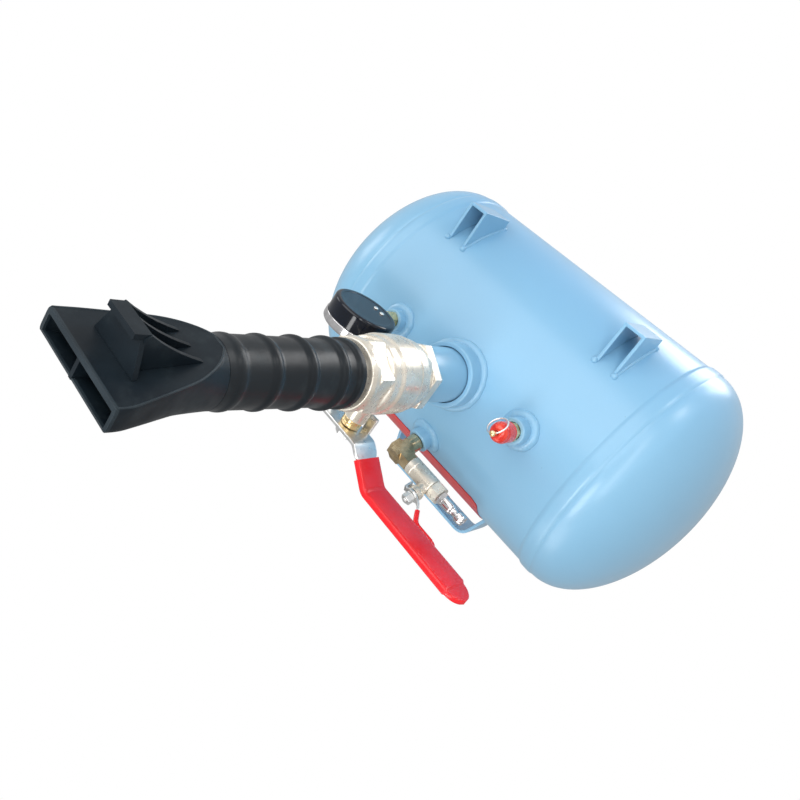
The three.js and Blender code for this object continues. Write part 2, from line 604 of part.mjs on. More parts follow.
const needleBlade = planPlate([[-1.2, -6], [1.2, -6], [0.4, 20], [-0.4, 20]], [5.4, 6.2])
  .rotate([0, 0, -45])
  .translate(caseAt.at);
place('gauge_needle', BLACK_PLASTIC, joined(
  gaugeRod(2.6, 5, 6.8), needleBlade, gaugeRod(1, -2.6, 6), gaugeRod(PINION_R, -2.4, 1.4),
));
const sectorHalf = THREE.MathUtils.degToRad(22);
const sectorPoint = (r, angle) => [r * Math.sin(angle), -r * Math.cos(angle)];
const sectorOutline = [
  ...Array.from({ length: 7 }, (_, i) => sectorPoint(SECTOR_R, -sectorHalf + (2 * sectorHalf * i) / 6)),
  [2.2, 1.5], [-2.2, 1.5],
];
place('gauge_sector', BRASS, cut(
  planPlate(sectorOutline, [-2, -0.6]).rotate([0, 0, -15]).translate(sectorPivot),
  rod(1.5, -5, 5, UP, { at: sectorPivot, sides: 10 }),
));
const tubeArc = (r, from, to, steps) => Array.from({ length: steps + 1 }, (_, i) => {
  const angle = THREE.MathUtils.degToRad(from + ((to - from) * i) / steps);
  return [r * Math.cos(angle), r * Math.sin(angle)];
});
const bourdonOutline = [...tubeArc(25.5, 130, 395, 16), ...tubeArc(23.5, 395, 130, 16)];
place('bourdon_tube', BRASS, planPlate(bourdonOutline, [-7, -3.4]).translate(caseAt.at));
place('gauge_stem', BRASS, joined(
  hexRod(13, 138.3, 152.4, FORWARD, [GAUGE.x, 0, GAUGE_STEM_Z]),
  rod(7.4, 122, 140, FORWARD, { at: [GAUGE.x, 0, 0], sides: 16 }),
  rod(4.3, 150, 158, FORWARD, { at: [GAUGE.x, 0, GAUGE_STEM_Z], sides: 16 }),
));
[-6.6, 1.8].forEach((x, i) => {
  const at = [GAUGE.x + x, -168, 0];
  place(`gauge_back_screw_${i + 1}`, STEEL, rod(1.6, -11, -10.3, UP, { at, sides: 12 }));
});

// ---- fill line, drawn along x at its distance from the tank ----

const onFill = (sides = 16) => ({ at: [0, 0, FILL_D], sides });
const fillRod = (r, from, to, sides) => rod(r, from, to, BACK_X, onFill(sides));
const fillUp = (x, sides = 12) => ({ at: [x, 0, 0], sides });

place('fill_elbow', AGED_BRASS, cut(
  joined(
    rod(8.6, 136.8, FILL_D, UP, fillUp(FILL_X, 16)),
    rod(7.4, 121, 138, UP, fillUp(FILL_X)),
    ball(8.9, [FILL_X, 0, FILL_D], 16),
    hexRod(FILL_HEX, 8, 20.7, BACK_X, [0, 0, FILL_D]),
  ),
  rod(FILL_BORE_R, 120, FILL_D, UP, fillUp(FILL_X)),
  fillRod(FILL_BORE_R, -FILL_X, 22, 12),
), fillLine);

const fillBodyOuter = joined(
  turned([
    [0, 21], [9, 21], [9, 27.5], [8.6, 28], [9, 28.5], [9, 50.7], [8.6, 51.7], [0, 51.7],
  ], BACK_X, onFill()),
  turned([
    [0, FILL_D], [5.4, FILL_D], [5.4, 168], [7.2, 171], [7.2, 175.4], [0, 175.4],
  ], UP, fillUp(FILL_STEM_X, 16)),
);
place('fill_valve_body', PLATED_BRASS, cut(
  fillBodyOuter,
  turned([
    [0, 20], [FILL_BORE_R, 20], [FILL_BORE_R, 38.8], [6.4, 38.8], [6.4, 49.7], [7.7, 49.7], [7.7, 52], [0, 52],
  ], BACK_X, onFill()),
  rod(FILL_STEM_R + GAP, FILL_D, 176, UP, fillUp(FILL_STEM_X, 12)),
), fillLine);
place('fill_valve_insert', PLATED_BRASS, cut(
  joined(hexRod(FILL_HEX, 52, 62, BACK_X, [0, 0, FILL_D]), fillRod(7.4, 50, 53)),
  fillRod(6.4, 49, 53.4),
  fillRod(3.5, 50, 63, 12),
  fillRod(5, 56, 63, 12),
), fillLine);
const fillBallRoom = ball(FILL_BALL_R + 0.6, [FILL_STEM_X, 0, FILL_D], 12);
const fillSeat = (from, to) => tube(3.8, 6.1, from, to, BACK_X, onFill()).subtract(fillBallRoom);
place('fill_seat_in', SEAT_WHITE, fillSeat(49.5, 53.1), fillLine);
place('fill_seat_out', SEAT_WHITE, fillSeat(39.1, 42.5), fillLine);
place('fill_ball', CHROME, cut(
  ball(FILL_BALL_R, [FILL_STEM_X, 0, FILL_D], 12),
  fillRod(3.6, 30, 60, 12),
  box([FILL_STEM_X - 8, FILL_STEM_X + 8], [-1.3, 1.3], [FILL_D + 4.4, FILL_D + 8]),
), fillLine);
place('fill_stem', STEEL, joined(
  rod(FILL_STEM_R, FILL_D + 6.3, 187, UP, fillUp(FILL_STEM_X, 12)),
  box([FILL_STEM_X - 1.6, FILL_STEM_X + 1.6], [-1, 1], [FILL_D + 4.7, FILL_D + 7]),
), fillLine);

const fillLeverPlate = (line, thickness, half) =>
  sidePlate(stripOutline(roundedLine(line, 3), thickness), [-half, half]);
const [, , fillGripStart, fillGripTip] = FILL_LEVER_LINE;
place('fill_lever', STEEL, cut(
  joined(
    fillLeverPlate(FILL_LEVER_LINE, FILL_LEVER_THICK, FILL_LEVER_HALF),
    box([-38, -36], [-FILL_LEVER_HALF, FILL_LEVER_HALF], [170, 178]),
    rod(7.6, 176, 178, UP, fillUp(FILL_STEM_X)),
  ),
  rod(FILL_STEM_R + GAP, 170, 180, UP, fillUp(FILL_STEM_X, 12)),
), fillLine);
place('fill_lever_sleeve', RED_VINYL, cut(
  fillLeverPlate([[-61, 183.8], fillGripStart, [-95, 194]], 4.4, FILL_LEVER_HALF + 1.1),
  fillLeverPlate(
    [[-59, 181.53], fillGripStart, [fillGripTip[0] - 0.4, 194]],
    FILL_LEVER_THICK + 2 * GAP,
    FILL_LEVER_HALF + GAP,
  ),
), fillLine);
place('fill_lever_nut', STEEL, cut(
  hexRod(9.5, 178.3, 185.4, UP, [FILL_STEM_X, 0, 0]),
  rod(FILL_STEM_R + GAP, 170, 190, UP, fillUp(FILL_STEM_X, 12)),
), fillLine);
place('air_nipple', CHROME, turned([
  [2.3, 57], [4.7, 57], [4.7, 62.3], [6.8, 62.3], [6.8, 67], [5.6, 68], [5.6, 77], [4, 79],
  [4, 83], [5.6, 84.5], [5.6, 89], [4.6, 92], [2.3, 92],
], BACK_X, onFill()), fillLine);

// ---- the part's own frame: origin on the ground, under the middle of its box ----

const origin = new THREE.Group();
tankFrame.position.set(2, 185.25, -FOOT_Z);
origin.add(tankFrame);

export default origin;
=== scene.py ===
"""Looks of the bead seater blaster tank: detailed pieces and procedural materials on the CAD frame.

Shapes are drawn in millimetres, in small frames that stand on the CAD boxes. The tank frame has its
origin on the tank's axis, level with the outlet's middle. Its x runs along the tank, -y is the way
that the nozzle blows and +z is up.
"""

import math

import bmesh
import bpy
from mathutils import Euler, Matrix, Vector


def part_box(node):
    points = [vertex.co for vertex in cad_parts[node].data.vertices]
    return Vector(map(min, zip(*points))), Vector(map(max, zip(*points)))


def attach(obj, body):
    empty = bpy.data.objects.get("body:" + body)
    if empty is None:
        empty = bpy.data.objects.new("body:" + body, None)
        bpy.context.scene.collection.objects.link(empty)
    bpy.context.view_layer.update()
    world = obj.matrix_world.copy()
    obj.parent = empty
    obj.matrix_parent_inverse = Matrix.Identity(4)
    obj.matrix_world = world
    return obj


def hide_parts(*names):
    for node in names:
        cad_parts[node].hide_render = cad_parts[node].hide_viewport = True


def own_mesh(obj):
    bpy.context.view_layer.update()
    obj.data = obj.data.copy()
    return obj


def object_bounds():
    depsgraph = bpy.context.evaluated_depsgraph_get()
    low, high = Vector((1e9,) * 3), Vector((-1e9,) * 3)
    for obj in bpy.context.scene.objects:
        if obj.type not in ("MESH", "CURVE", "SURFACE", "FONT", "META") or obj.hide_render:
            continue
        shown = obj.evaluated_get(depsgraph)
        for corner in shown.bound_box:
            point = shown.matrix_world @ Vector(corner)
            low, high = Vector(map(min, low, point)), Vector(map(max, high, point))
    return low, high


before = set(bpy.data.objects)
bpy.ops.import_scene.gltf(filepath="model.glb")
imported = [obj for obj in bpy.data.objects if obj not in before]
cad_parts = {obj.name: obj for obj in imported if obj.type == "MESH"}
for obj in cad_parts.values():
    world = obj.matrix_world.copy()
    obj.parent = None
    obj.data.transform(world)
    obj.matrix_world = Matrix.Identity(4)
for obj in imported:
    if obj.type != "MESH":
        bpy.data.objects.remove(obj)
cad_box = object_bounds()

MM = 0.001

# ---- frames to draw in ----


def middle(node):
    """The middle of a CAD node's box, in metres."""
    low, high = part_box(node)
    return (low + high) / 2


OUTLET = middle("outlet_pipe")
SHELL = middle("tank_shell")
ORIGIN = Vector((OUTLET.x, SHELL.y, SHELL.z))
SHELL_X = (SHELL.x - ORIGIN.x) / MM
STEM_Y = (middle("valve_stem").y - ORIGIN.y) / MM
RELIEF_X = (middle("relief_cap").x - ORIGIN.x) / MM
RELIEF_Z = (middle("relief_cap").z - ORIGIN.z) / MM
GAUGE_X = (middle("gauge_bezel").x - ORIGIN.x) / MM
GAUGE_Y = (middle("gauge_bezel").y - ORIGIN.y) / MM
FILL_ANGLE = math.radians(35.3)  # fill line's turn from the blowing direction towards the top
FILL_X = -4.5
FILL_D = 157  # fill line's axis to the tank's axis
FILL_STEM_X = -46

ALONG = Vector((1, 0, 0))
BLOW = Vector((0, -1, 0))
UP = Vector((0, 0, 1))
OUT = Vector((0, -math.cos(FILL_ANGLE), math.sin(FILL_ANGLE)))  # out of the tank at the fill line


def spot(origin, axis, side):
    """Places a small frame at an origin in the tank frame, with its z along axis and x along side."""
    turn = Matrix((side, axis.cross(side), axis)).transposed().to_4x4()
    return Matrix.Translation(ORIGIN + Vector(origin) * MM) @ turn @ Matrix.Scale(MM, 4)


TANK = spot((0, 0, 0), UP, ALONG)
AXLE = spot((SHELL_X, 0, 0), ALONG, UP)
BLOWING = spot((0, 0, 0), BLOW, UP)
STEM = spot((0, STEM_Y, 0), UP, BLOW)
RELIEF = spot((RELIEF_X, 0, RELIEF_Z), BLOW, UP)
GAUGE = spot((GAUGE_X, GAUGE_Y, 0), UP, BLOW)
GAUGE_STEM = spot((GAUGE_X, 0, -1.8), BLOW, UP)
FILL_LINE = spot(tuple(OUT * FILL_D), -ALONG, OUT)
FILL_GROUP = spot((0, 0, 0), OUT, ALONG)  # x along the tank, z out of it
FILL_NECK = spot((FILL_X, 0, 0), OUT, ALONG)
FILL_STEM = spot((FILL_STEM_X, 0, 0), OUT, OUT.cross(ALONG))

# ---- shapes: each is a list of points in mm and a list of faces ----


def eased(outline, fillet=0.5, steps=3, closed=True):
    """Rounds the corners of a flat outline. A corner's third number, if any, is its own fillet."""
    count = len(outline)
    points = []
    for i, corner in enumerate(outline):
        here = Vector(corner[:2])
        size = corner[2] if len(corner) > 2 else fillet
        if size <= 0 or abs(here.x) < 1e-9 or (not closed and i in (0, count - 1)):
            points.append(tuple(here))
            continue
        to_last = Vector(outline[i - 1][:2]) - here
        to_next = Vector(outline[(i + 1) % count][:2]) - here
        start = here + to_last.normalized() * min(size, 0.45 * to_last.length)
        end = here + to_next.normalized() * min(size, 0.45 * to_next.length)
        for step in range(steps + 1):
            t = step / steps
            points.append(tuple(start * (1 - t) ** 2 + here * 2 * t * (1 - t) + end * t * t))
    return points


def turned(profile, fillet=0.5, sides=96, steps=3):
    """A closed profile of (radius, height) corners turned about z."""
    ring = eased(profile, fillet, steps)
    count = len(ring)
    points = []
    for i in range(sides):
        angle = math.tau * i / sides
        points += [(r * math.cos(angle), r * math.sin(angle), h) for r, h in ring]
    faces = []
    for i in range(sides):
        here, there = i * count, (i + 1) % sides * count
        for j in range(count):
            k = (j + 1) % count
            if abs(ring[j][0]) + abs(ring[k][0]) > 1e-6:
                faces.append((here + j, here + k, there + k, there + j))
    return points, faces


CHAMFER = math.radians(30)  # of a nut's corners
EDGE_BREAK = 0.15  # least rounding of a nut's edges


def hexagon(flats, low, high, bore=0.0, sides=96, crown=1.06):
    """A hexagonal nut about z, with its corners chamfered by a cone at both ends."""
    crown_r = flats / 2 * crown
    points, faces = [], []
    for i in range(sides):
        angle = math.tau * i / sides
        reach = flats / 2 / math.cos(angle % (math.pi / 3) - math.pi / 6)
        drop = max(reach - crown_r, 0.0) * math.tan(CHAMFER) + EDGE_BREAK
        edge = min(reach - EDGE_BREAK, crown_r)
        ring = [
            (bore, low), (edge, low), (reach, low + drop),
            (reach, high - drop), (edge, high), (bore, high),
        ]
        points += [(r * math.cos(angle), r * math.sin(angle), h) for r, h in ring]
        for j in range(6):
            k = (j + 1) % 6
            if bore > 0 or (j, k) != (5, 0):
                here, there = i * 6, (i + 1) % sides * 6
                faces.append((here + j, here + k, there + k, there + j))
    return points, faces


def rings(sections, cyclic=False):
    """Joins closed rings of points of one length, and caps the ends unless they are joined too."""
    count = len(sections[0])
    points = [tuple(p) for section in sections for p in section]
    faces = []
    for i in range(len(sections) if cyclic else len(sections) - 1):
        here, there = i * count, (i + 1) % len(sections) * count
        for j in range(count):
            k = (j + 1) % count
            faces.append((here + j, here + k, there + k, there + j))
    if not cyclic:
        faces.append(tuple(range(count)))
        faces.append(tuple((len(sections) - 1) * count + j for j in range(count)))
    return points, faces


def slab(width, thick, corner=0.7):
    """The rounded section of a flat strip."""
    x, y = width / 2, thick / 2
    return eased([(-x, -y), (x, -y), (x, y), (-x, y)], corner)


def bent(line, section_at, side=Vector((0, 1, 0))):
    """Carries a flat strip's section along a bent line, across the direction given by side."""
    path = [Vector(p) for p in line]
    sections = []
    for i, here in enumerate(path):
        along = (path[min(i + 1, len(path) - 1)] - path[max(i - 1, 0)]).normalized()
        up = along.cross(side)
        sections.append([here + side * across + up * rise for across, rise in section_at(here)])
    return sections


def block(xs, ys, zs):
    """A box between two values along each axis."""
    corners = [(x, y, z) for z in zs for y in ys for x in xs]
    faces = [(0, 1, 3, 2), (4, 5, 7, 6), (0, 1, 5, 4), (2, 3, 7, 6), (0, 2, 6, 4), (1, 3, 7, 5)]
    return corners, faces


def globe(r, centre, steps):
    """A ball round a centre."""
    arc = []
    for i in range(steps + 1):
        angle = math.pi * i / steps
        arc.append((max(r * math.sin(angle), 0), centre[2] - r * math.cos(angle), 0))
    points, faces = turned(arc, sides=48)
    return [(x + centre[0], y + centre[1], z) for x, y, z in points], faces


def wire(path, r, closed=False, sides=12):
    """A round wire along a path of points."""
    path = [Vector(p) for p in path]
    count = len(path)
    sections = []
    across = None
    for i, here in enumerate(path):
        ahead = path[(i + 1) % count] if closed or i < count - 1 else here
        behind = path[i - 1] if closed or i else here
        along = (ahead - behind).normalized()
        across = along.orthogonal() if across is None else across - along * across.dot(along)
        across.normalize()
        up = along.cross(across)
        sections.append([
            here + (across * math.cos(math.tau * j / sides) + up * math.sin(math.tau * j / sides)) * r
            for j in range(sides)
        ])
    return rings(sections, cyclic=closed)


def bead(path, outwards, size, rise=0.8, closed=False, ripple=2.1):
    """A weld bead: a low rounded ridge along a path, rippled the way that the pool froze."""
    path = [Vector(p) for p in path]
    count = len(path)
    travelled = 0.0
    sections = []
    for i, here in enumerate(path):
        ahead = path[(i + 1) % count] if closed or i < count - 1 else here
        behind = path[i - 1] if closed or i else here
        along = (ahead - behind).normalized()
        across = along.cross(outwards[i]).normalized()
        if i:
            travelled += (here - path[i - 1]).length
        uneven = 1 + 0.03 * math.sin(travelled * 0.23) + 0.025 * math.sin(travelled * 0.61 + 1)
        if not closed:
            uneven *= max(0.15, min(1.0, (min(i, count - 1 - i) + 0.4) / 2.5)) ** 0.5
        section = []
        for j in range(14):
            around = math.tau * j / 14
            wave = 1 + 0.028 * math.sin(math.tau * travelled / ripple + 1.6 * math.cos(around))
            reach = size * uneven * wave
            section.append(
                here + across * math.cos(around) * reach + outwards[i] * math.sin(around) * reach * rise
            )
        sections.append(section)
    return rings(sections, cyclic=closed)


# ---- materials ----


class Look:
    """A procedural material and the record's slot that it belongs to."""

    def __init__(self, name, slot, metallic=0.0, coat=0.0, specular=0.5):
        self.slot = slot
        self.material = bpy.data.materials.new(name)
        self.material.use_nodes = True
        self.tree = self.material.node_tree
        self.shader = self.tree.nodes["Principled BSDF"]
        self.shader.inputs["Metallic"].default_value = metallic
        self.shader.inputs["Coat Weight"].default_value = coat
        self.shader.inputs["Coat Roughness"].default_value = 0.06
        self.shader.inputs["Specular IOR Level"].default_value = specular
        self.place = self.tree.nodes.new("ShaderNodeTexCoord").outputs["Object"]

    def node(self, kind, settings=(), values=()):
        """Adds a node with its settings, and its inputs set to numbers or joined to other outputs."""
        made = self.tree.nodes.new(kind)
        for key, value in dict(settings).items():
            setattr(made, key, value)
        for key, value in dict(values).items():
            if isinstance(value, bpy.types.NodeSocket):
                self.tree.links.new(value, made.inputs[key])
            else:
                made.inputs[key].default_value = value
        return made

    def stretched(self, scale):
        """The place on the object, scaled along each axis, for grain that runs one way."""
        return self.node("ShaderNodeMapping", values={"Vector": self.place, "Scale": scale}).outputs[0]

    def noise(self, scale, detail=4.0, rough=0.5, place=None):
        values = {"Vector": place or self.place, "Scale": scale, "Detail": detail, "Roughness": rough}
        return self.node("ShaderNodeTexNoise", values=values).outputs["Fac"]

    def cells(self, scale):
        values = {"Vector": self.place, "Scale": scale}
        return self.node("ShaderNodeTexVoronoi", values=values).outputs["Distance"]

    def mapped(self, value, low, high, to_low=0.0, to_high=1.0):
        values = {"Value": value, "From Min": low, "From Max": high, "To Min": to_low, "To Max": to_high}
        return self.node("ShaderNodeMapRange", values=values).outputs[0]

    def product(self, first, second):
        return self.node("ShaderNodeMath", {"operation": "MULTIPLY"}, {0: first, 1: second}).outputs[0]

    def blend(self, share, first, second):
        """Mixes two colours, given as three numbers or as outputs."""
        made = self.node("ShaderNodeMix", {"data_type": "RGBA"}, {0: share})
        for key, value in ((6, first), (7, second)):
            if isinstance(value, bpy.types.NodeSocket):
                self.tree.links.new(value, made.inputs[key])
            else:
                made.inputs[key].default_value = (*value, 1)
        return made.outputs[2]

    def worn_edges(self):
        """High where the surface is convex and worn."""
        pointiness = self.node("ShaderNodeNewGeometry").outputs["Pointiness"]
        broken = self.mapped(self.noise(260, 5), 0.4, 0.62)
        return self.product(self.mapped(pointiness, 0.51, 0.56), broken)

    def colour(self, value):
        self.tree.links.new(value, self.shader.inputs["Base Color"])

    def roughness(self, scale, low, high, detail=5):
        value = self.mapped(self.noise(scale, detail), 0.3, 0.7, low, high)
        self.tree.links.new(value, self.shader.inputs["Roughness"])

    def bumps(self, *layers):
        """Stacks bumps: each layer is a height output, its strength and its depth in mm."""
        normal = None
        for height, strength, depth in layers:
            values = {"Height": height, "Strength": strength, "Distance": depth * MM}
            if normal is not None:
                values["Normal"] = normal
            normal = self.node("ShaderNodeBump", values=values).outputs[0]
        self.tree.links.new(normal, self.shader.inputs["Normal"])


def enamel():
    look = Look("blue_enamel", "tank_enamel", specular=0.4, coat=0.55)
    look.shader.inputs["Coat Roughness"].default_value = 0.24
    cloud = look.mapped(look.noise(7, 3), 0.35, 0.65)
    base = look.blend(cloud, (0.212, 0.438, 0.625), (0.226, 0.456, 0.645))
    dust = look.mapped(look.noise(2200, 2), 0.40, 0.75, 0, 0.10)
    dusty = look.blend(dust, base, (0.46, 0.62, 0.72))
    specks = look.mapped(look.cells(34), 0.018, 0.010, 0, 0.55)
    look.colour(look.blend(specks, dusty, (0.10, 0.16, 0.20)))
    look.roughness(30, 0.32, 0.39, detail=2)
    look.bumps((look.noise(14, 1), 0.04, 6), (look.noise(260, 2), 0.04, 0.4))
    return look


def plated(name="plated_brass", grain=1.0):
    """Nickel-plated brass with brassy tones; grain says how rough its sandblasted surface is."""
    look = Look(name, "plated_brass", metallic=0.62)
    tone = look.mapped(look.noise(55, 6), 0.35, 0.68)
    base = look.blend(tone, (0.66, 0.605, 0.51), (0.82, 0.775, 0.69))
    pits = look.mapped(look.noise(900, 3, 0.5), 0.35, 0.70, 0, 0.14 * grain)
    pitted = look.blend(pits, base, (0.46, 0.41, 0.34))
    look.colour(look.blend(look.worn_edges(), pitted, (0.86, 0.82, 0.72)))
    look.roughness(240, 0.24, 0.36, detail=2)
    waves = look.noise(60, 2)
    blasting = look.noise(1500, 2, 0.5)
    look.bumps((waves, 0.04 * grain, 1.5), (blasting, 0.10 * grain + 0.01, 0.1))
    return look


def brass():
    look = Look("bare_brass", "bare_brass", metallic=1.0)
    tone = look.mapped(look.noise(120, 5), 0.35, 0.65)
    base = look.blend(tone, (0.80, 0.57, 0.27), (0.93, 0.73, 0.42))
    stain = look.mapped(look.noise(60, 6, 0.65), 0.58, 0.74, 0, 0.5)
    look.colour(look.blend(stain, base, (0.50, 0.33, 0.15)))
    look.roughness(200, 0.18, 0.36)
    look.bumps((look.noise(900, 3), 0.10, 0.15))
    return look


def aged():
    look = Look("aged_brass", "aged_brass", metallic=0.95)
    tone = look.mapped(look.noise(110, 3, 0.5), 0.34, 0.66)
    base = look.blend(tone, (0.40, 0.30, 0.17), (0.66, 0.53, 0.33))
    stain = look.mapped(look.noise(300, 3, 0.5), 0.52, 0.78, 0, 0.30)
    look.colour(look.blend(stain, base, (0.24, 0.17, 0.09)))
    look.roughness(200, 0.18, 0.28, detail=2)
    look.bumps((look.noise(300, 1), 0.02, 0.2))
    return look


def zinc():
    look = Look("zinc_steel", "zinc_steel", metallic=1.0)
    tone = look.mapped(look.noise(90, 6, 0.6), 0.32, 0.68)
    base = look.blend(tone, (0.76, 0.77, 0.76), (0.90, 0.905, 0.89))
    scratch = look.mapped(look.noise(620, 3, place=look.stretched((0.12, 1, 1))), 0.62, 0.72, 0, 0.22)
    look.colour(look.blend(scratch, base, (0.50, 0.51, 0.51)))
    look.roughness(260, 0.26, 0.40)
    grain = look.noise(700, 3, place=look.stretched((0.1, 1, 1)))
    look.bumps((grain, 0.05, 0.08), (look.noise(60, 2), 0.03, 0.6))
    return look


def chrome():
    look = Look("bright_chrome", "bright_chrome", metallic=1.0)
    tone = look.mapped(look.noise(160, 5), 0.35, 0.65)
    look.colour(look.blend(tone, (0.60, 0.59, 0.60), (0.78, 0.77, 0.78)))
    look.roughness(500, 0.10, 0.18)
    look.bumps((look.noise(1200, 3), 0.03, 0.08))
    return look


def vinyl():
    look = Look("red_vinyl", "red_vinyl", specular=0.55)
    tone = look.mapped(look.noise(30, 4), 0.35, 0.65)
    base = look.blend(tone, (0.74, 0.006, 0.012), (0.82, 0.010, 0.018))
    scuff = look.mapped(look.noise(520, 6, 0.7, look.stretched((0.2, 1, 1))), 0.68, 0.80, 0, 0.16)
    look.colour(look.blend(scuff, base, (0.88, 0.08, 0.09)))
    look.roughness(60, 0.20, 0.27, detail=2)
    look.bumps((look.noise(30, 1), 0.03, 1.0), (look.noise(1100, 3), 0.03, 0.08))
    return look


def moulded(name, dark, pale, specular, rough):
    """Black plastic with the tones, gloss and least roughness that are given."""
    look = Look(name, "nozzle_black", specular=specular)
    tone = look.mapped(look.noise(26, 5), 0.32, 0.68)
    base = look.blend(tone, dark, pale)
    dust = look.mapped(look.noise(48, 6, 0.62), 0.54, 0.74, 0, 0.42)
    dusty = look.blend(dust, base, (0.030, 0.042, 0.048))
    scuff = look.mapped(look.noise(340, 7, 0.7, look.stretched((1, 0.35, 1))), 0.62, 0.80, 0, 0.3)
    look.colour(look.blend(scuff, dusty, (0.036, 0.042, 0.046)))
    look.roughness(90, rough, rough + 0.14)
    look.bumps((look.noise(60, 2), 0.06, 1.0), (look.noise(1900, 3, 0.6), 0.14, 0.10))
    return look


def gloss_black():
    look = Look("black_gloss", "gauge_black", specular=0.42)
    tone = look.mapped(look.noise(40, 3), 0.35, 0.65)
    base = look.blend(tone, (0.0012, 0.0024, 0.0060), (0.0024, 0.0050, 0.0110))
    dust = look.mapped(look.noise(1500, 6, 0.75), 0.68, 0.78, 0, 0.25)
    look.colour(look.blend(dust, base, (0.06, 0.065, 0.07)))
    look.roughness(120, 0.09, 0.13, detail=2)
    look.bumps((look.noise(70, 2), 0.02, 1.0))
    return look


def label_print():
    look = Look("label_red", "label_red", specular=0.55)
    tone = look.mapped(look.noise(18, 4), 0.35, 0.65)
    base = look.blend(tone, (0.50, 0.018, 0.022), (0.62, 0.030, 0.030))
    fade = look.mapped(look.noise(300, 6, 0.7), 0.62, 0.76, 0, 0.25)
    look.colour(look.blend(fade, base, (0.72, 0.20, 0.17)))
    look.roughness(90, 0.26, 0.40)
    look.bumps((look.noise(240, 3), 0.05, 0.2))
    return look


def cap_paint():
    look = Look("cap_red", "cap_red", metallic=0.25, coat=0.5)
    tone = look.mapped(look.noise(150, 5), 0.35, 0.65)
    base = look.blend(tone, (0.70, 0.022, 0.012), (0.86, 0.060, 0.030))
    look.colour(base)
    look.roughness(300, 0.20, 0.34)
    look.bumps((look.noise(900, 3), 0.06, 0.1))
    return look


def seat_plastic():
    look = Look("seat_white", "seat_white")
    tone = look.mapped(look.noise(200, 5), 0.35, 0.65)
    look.colour(look.blend(tone, (0.72, 0.71, 0.67), (0.84, 0.83, 0.80)))
    look.roughness(300, 0.42, 0.6)
    look.bumps((look.noise(1200, 3), 0.08, 0.1))
    return look


def lens_glass():
    look = Look("clear_lens", "clear_lens")
    look.shader.inputs["Transmission Weight"].default_value = 1.0
    look.shader.inputs["IOR"].default_value = 1.49
    smear = look.mapped(look.noise(60, 5), 0.3, 0.7)
    look.colour(look.blend(smear, (0.93, 0.95, 0.95), (0.98, 0.99, 0.99)))
    look.roughness(90, 0.01, 0.06)
    look.bumps((look.noise(40, 2), 0.02, 0.5))
    return look


def dial_card(name, light, dark):
    look = Look(name, "dial_white")
    tone = look.mapped(look.noise(90, 4), 0.35, 0.65)
    look.colour(look.blend(tone, dark, light))
    look.roughness(300, 0.4, 0.6)
    look.bumps((look.noise(1500, 3), 0.05, 0.08))
    return look


ENAMEL = enamel()
PLATED = plated()
PLATED_SMOOTH = plated("plated_machined", 0.25)
BRASS = brass()
AGED = aged()
ZINC = zinc()
CHROME = chrome()
VINYL = vinyl()
PLASTIC = moulded(
    "black_plastic", (0.0036, 0.0068, 0.0105), (0.0080, 0.0140, 0.0195), specular=0.20, rough=0.36,
)
# A paler copy of the black plastic: its lighter tones are a painted highlight, used on the mouth's lip
# and along the crease under the head.
PLASTIC_PAINTED_HIGHLIGHT = moulded(
    "black_plastic_painted_highlight", (0.012, 0.019, 0.025), (0.026, 0.038, 0.047), specular=0.24, rough=0.34,
)
PLASTIC_SMOOTH = moulded(
    "black_plastic_smooth", (0.0036, 0.0060, 0.0085), (0.0075, 0.0115, 0.0150),
    specular=0.30, rough=0.30,
)
GLOSS = gloss_black()
LABEL = label_print()
CAP = cap_paint()
SEAT = seat_plastic()
GLASS = lens_glass()
DIAL = dial_card("dial_white", (0.88, 0.87, 0.83), (0.80, 0.79, 0.75))
INK = dial_card("dial_ink", (0.020, 0.020, 0.022), (0.012, 0.012, 0.013))

# ---- placing pieces ----


def piece(name, shapes, look, stands_for=(), body="tank", bevel=0.0, voxel=0.0, sharp=38):
    """Builds one piece from shapes and the frames they stand in. Lengths are in mm, sharp in degrees."""
    bm = bmesh.new()
    for place, (points, faces) in shapes:
        corners = [bm.verts.new(place @ Vector(p)) for p in points]
        for face in faces:
            bm.faces.new([corners[i] for i in face])
    bmesh.ops.remove_doubles(bm, verts=bm.verts, dist=0.004 * MM)
    bmesh.ops.dissolve_degenerate(bm, edges=bm.edges, dist=0.002 * MM)
    bmesh.ops.recalc_face_normals(bm, faces=bm.faces)
    for face in bm.faces:
        face.smooth = True
    for edge in bm.edges:
        edge.smooth = bool(bevel or voxel) or edge.calc_face_angle(0.0) < math.radians(sharp)
    mesh = bpy.data.meshes.new(name)
    bm.to_mesh(mesh)
    bm.free()
    made = bpy.data.objects.new(name, mesh)
    bpy.context.scene.collection.objects.link(made)
    if voxel:
        fused = made.modifiers.new("fused", "REMESH")
        fused.mode = "VOXEL"
        fused.voxel_size = voxel * MM
        fused.use_smooth_shade = True
        softened = made.modifiers.new("softened", "SMOOTH")
        softened.factor = 0.5
        softened.iterations = 3
    if bevel:
        soften(made, bevel)
    mesh.materials.append(look.material)
    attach(made, body)
    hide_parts(*([stands_for] if isinstance(stands_for, str) else stands_for))
    return made


def soften(thing, width):
    """Rounds a piece's edges and evens the shading over its flats."""
    bevel = thing.modifiers.new("edges", "BEVEL")
    bevel.width = width * MM
    bevel.segments = 3
    bevel.limit_method = "ANGLE"
    bevel.angle_limit = math.radians(32)
    evened = thing.modifiers.new("shading", "WEIGHTED_NORMAL")
    evened.keep_sharp = True


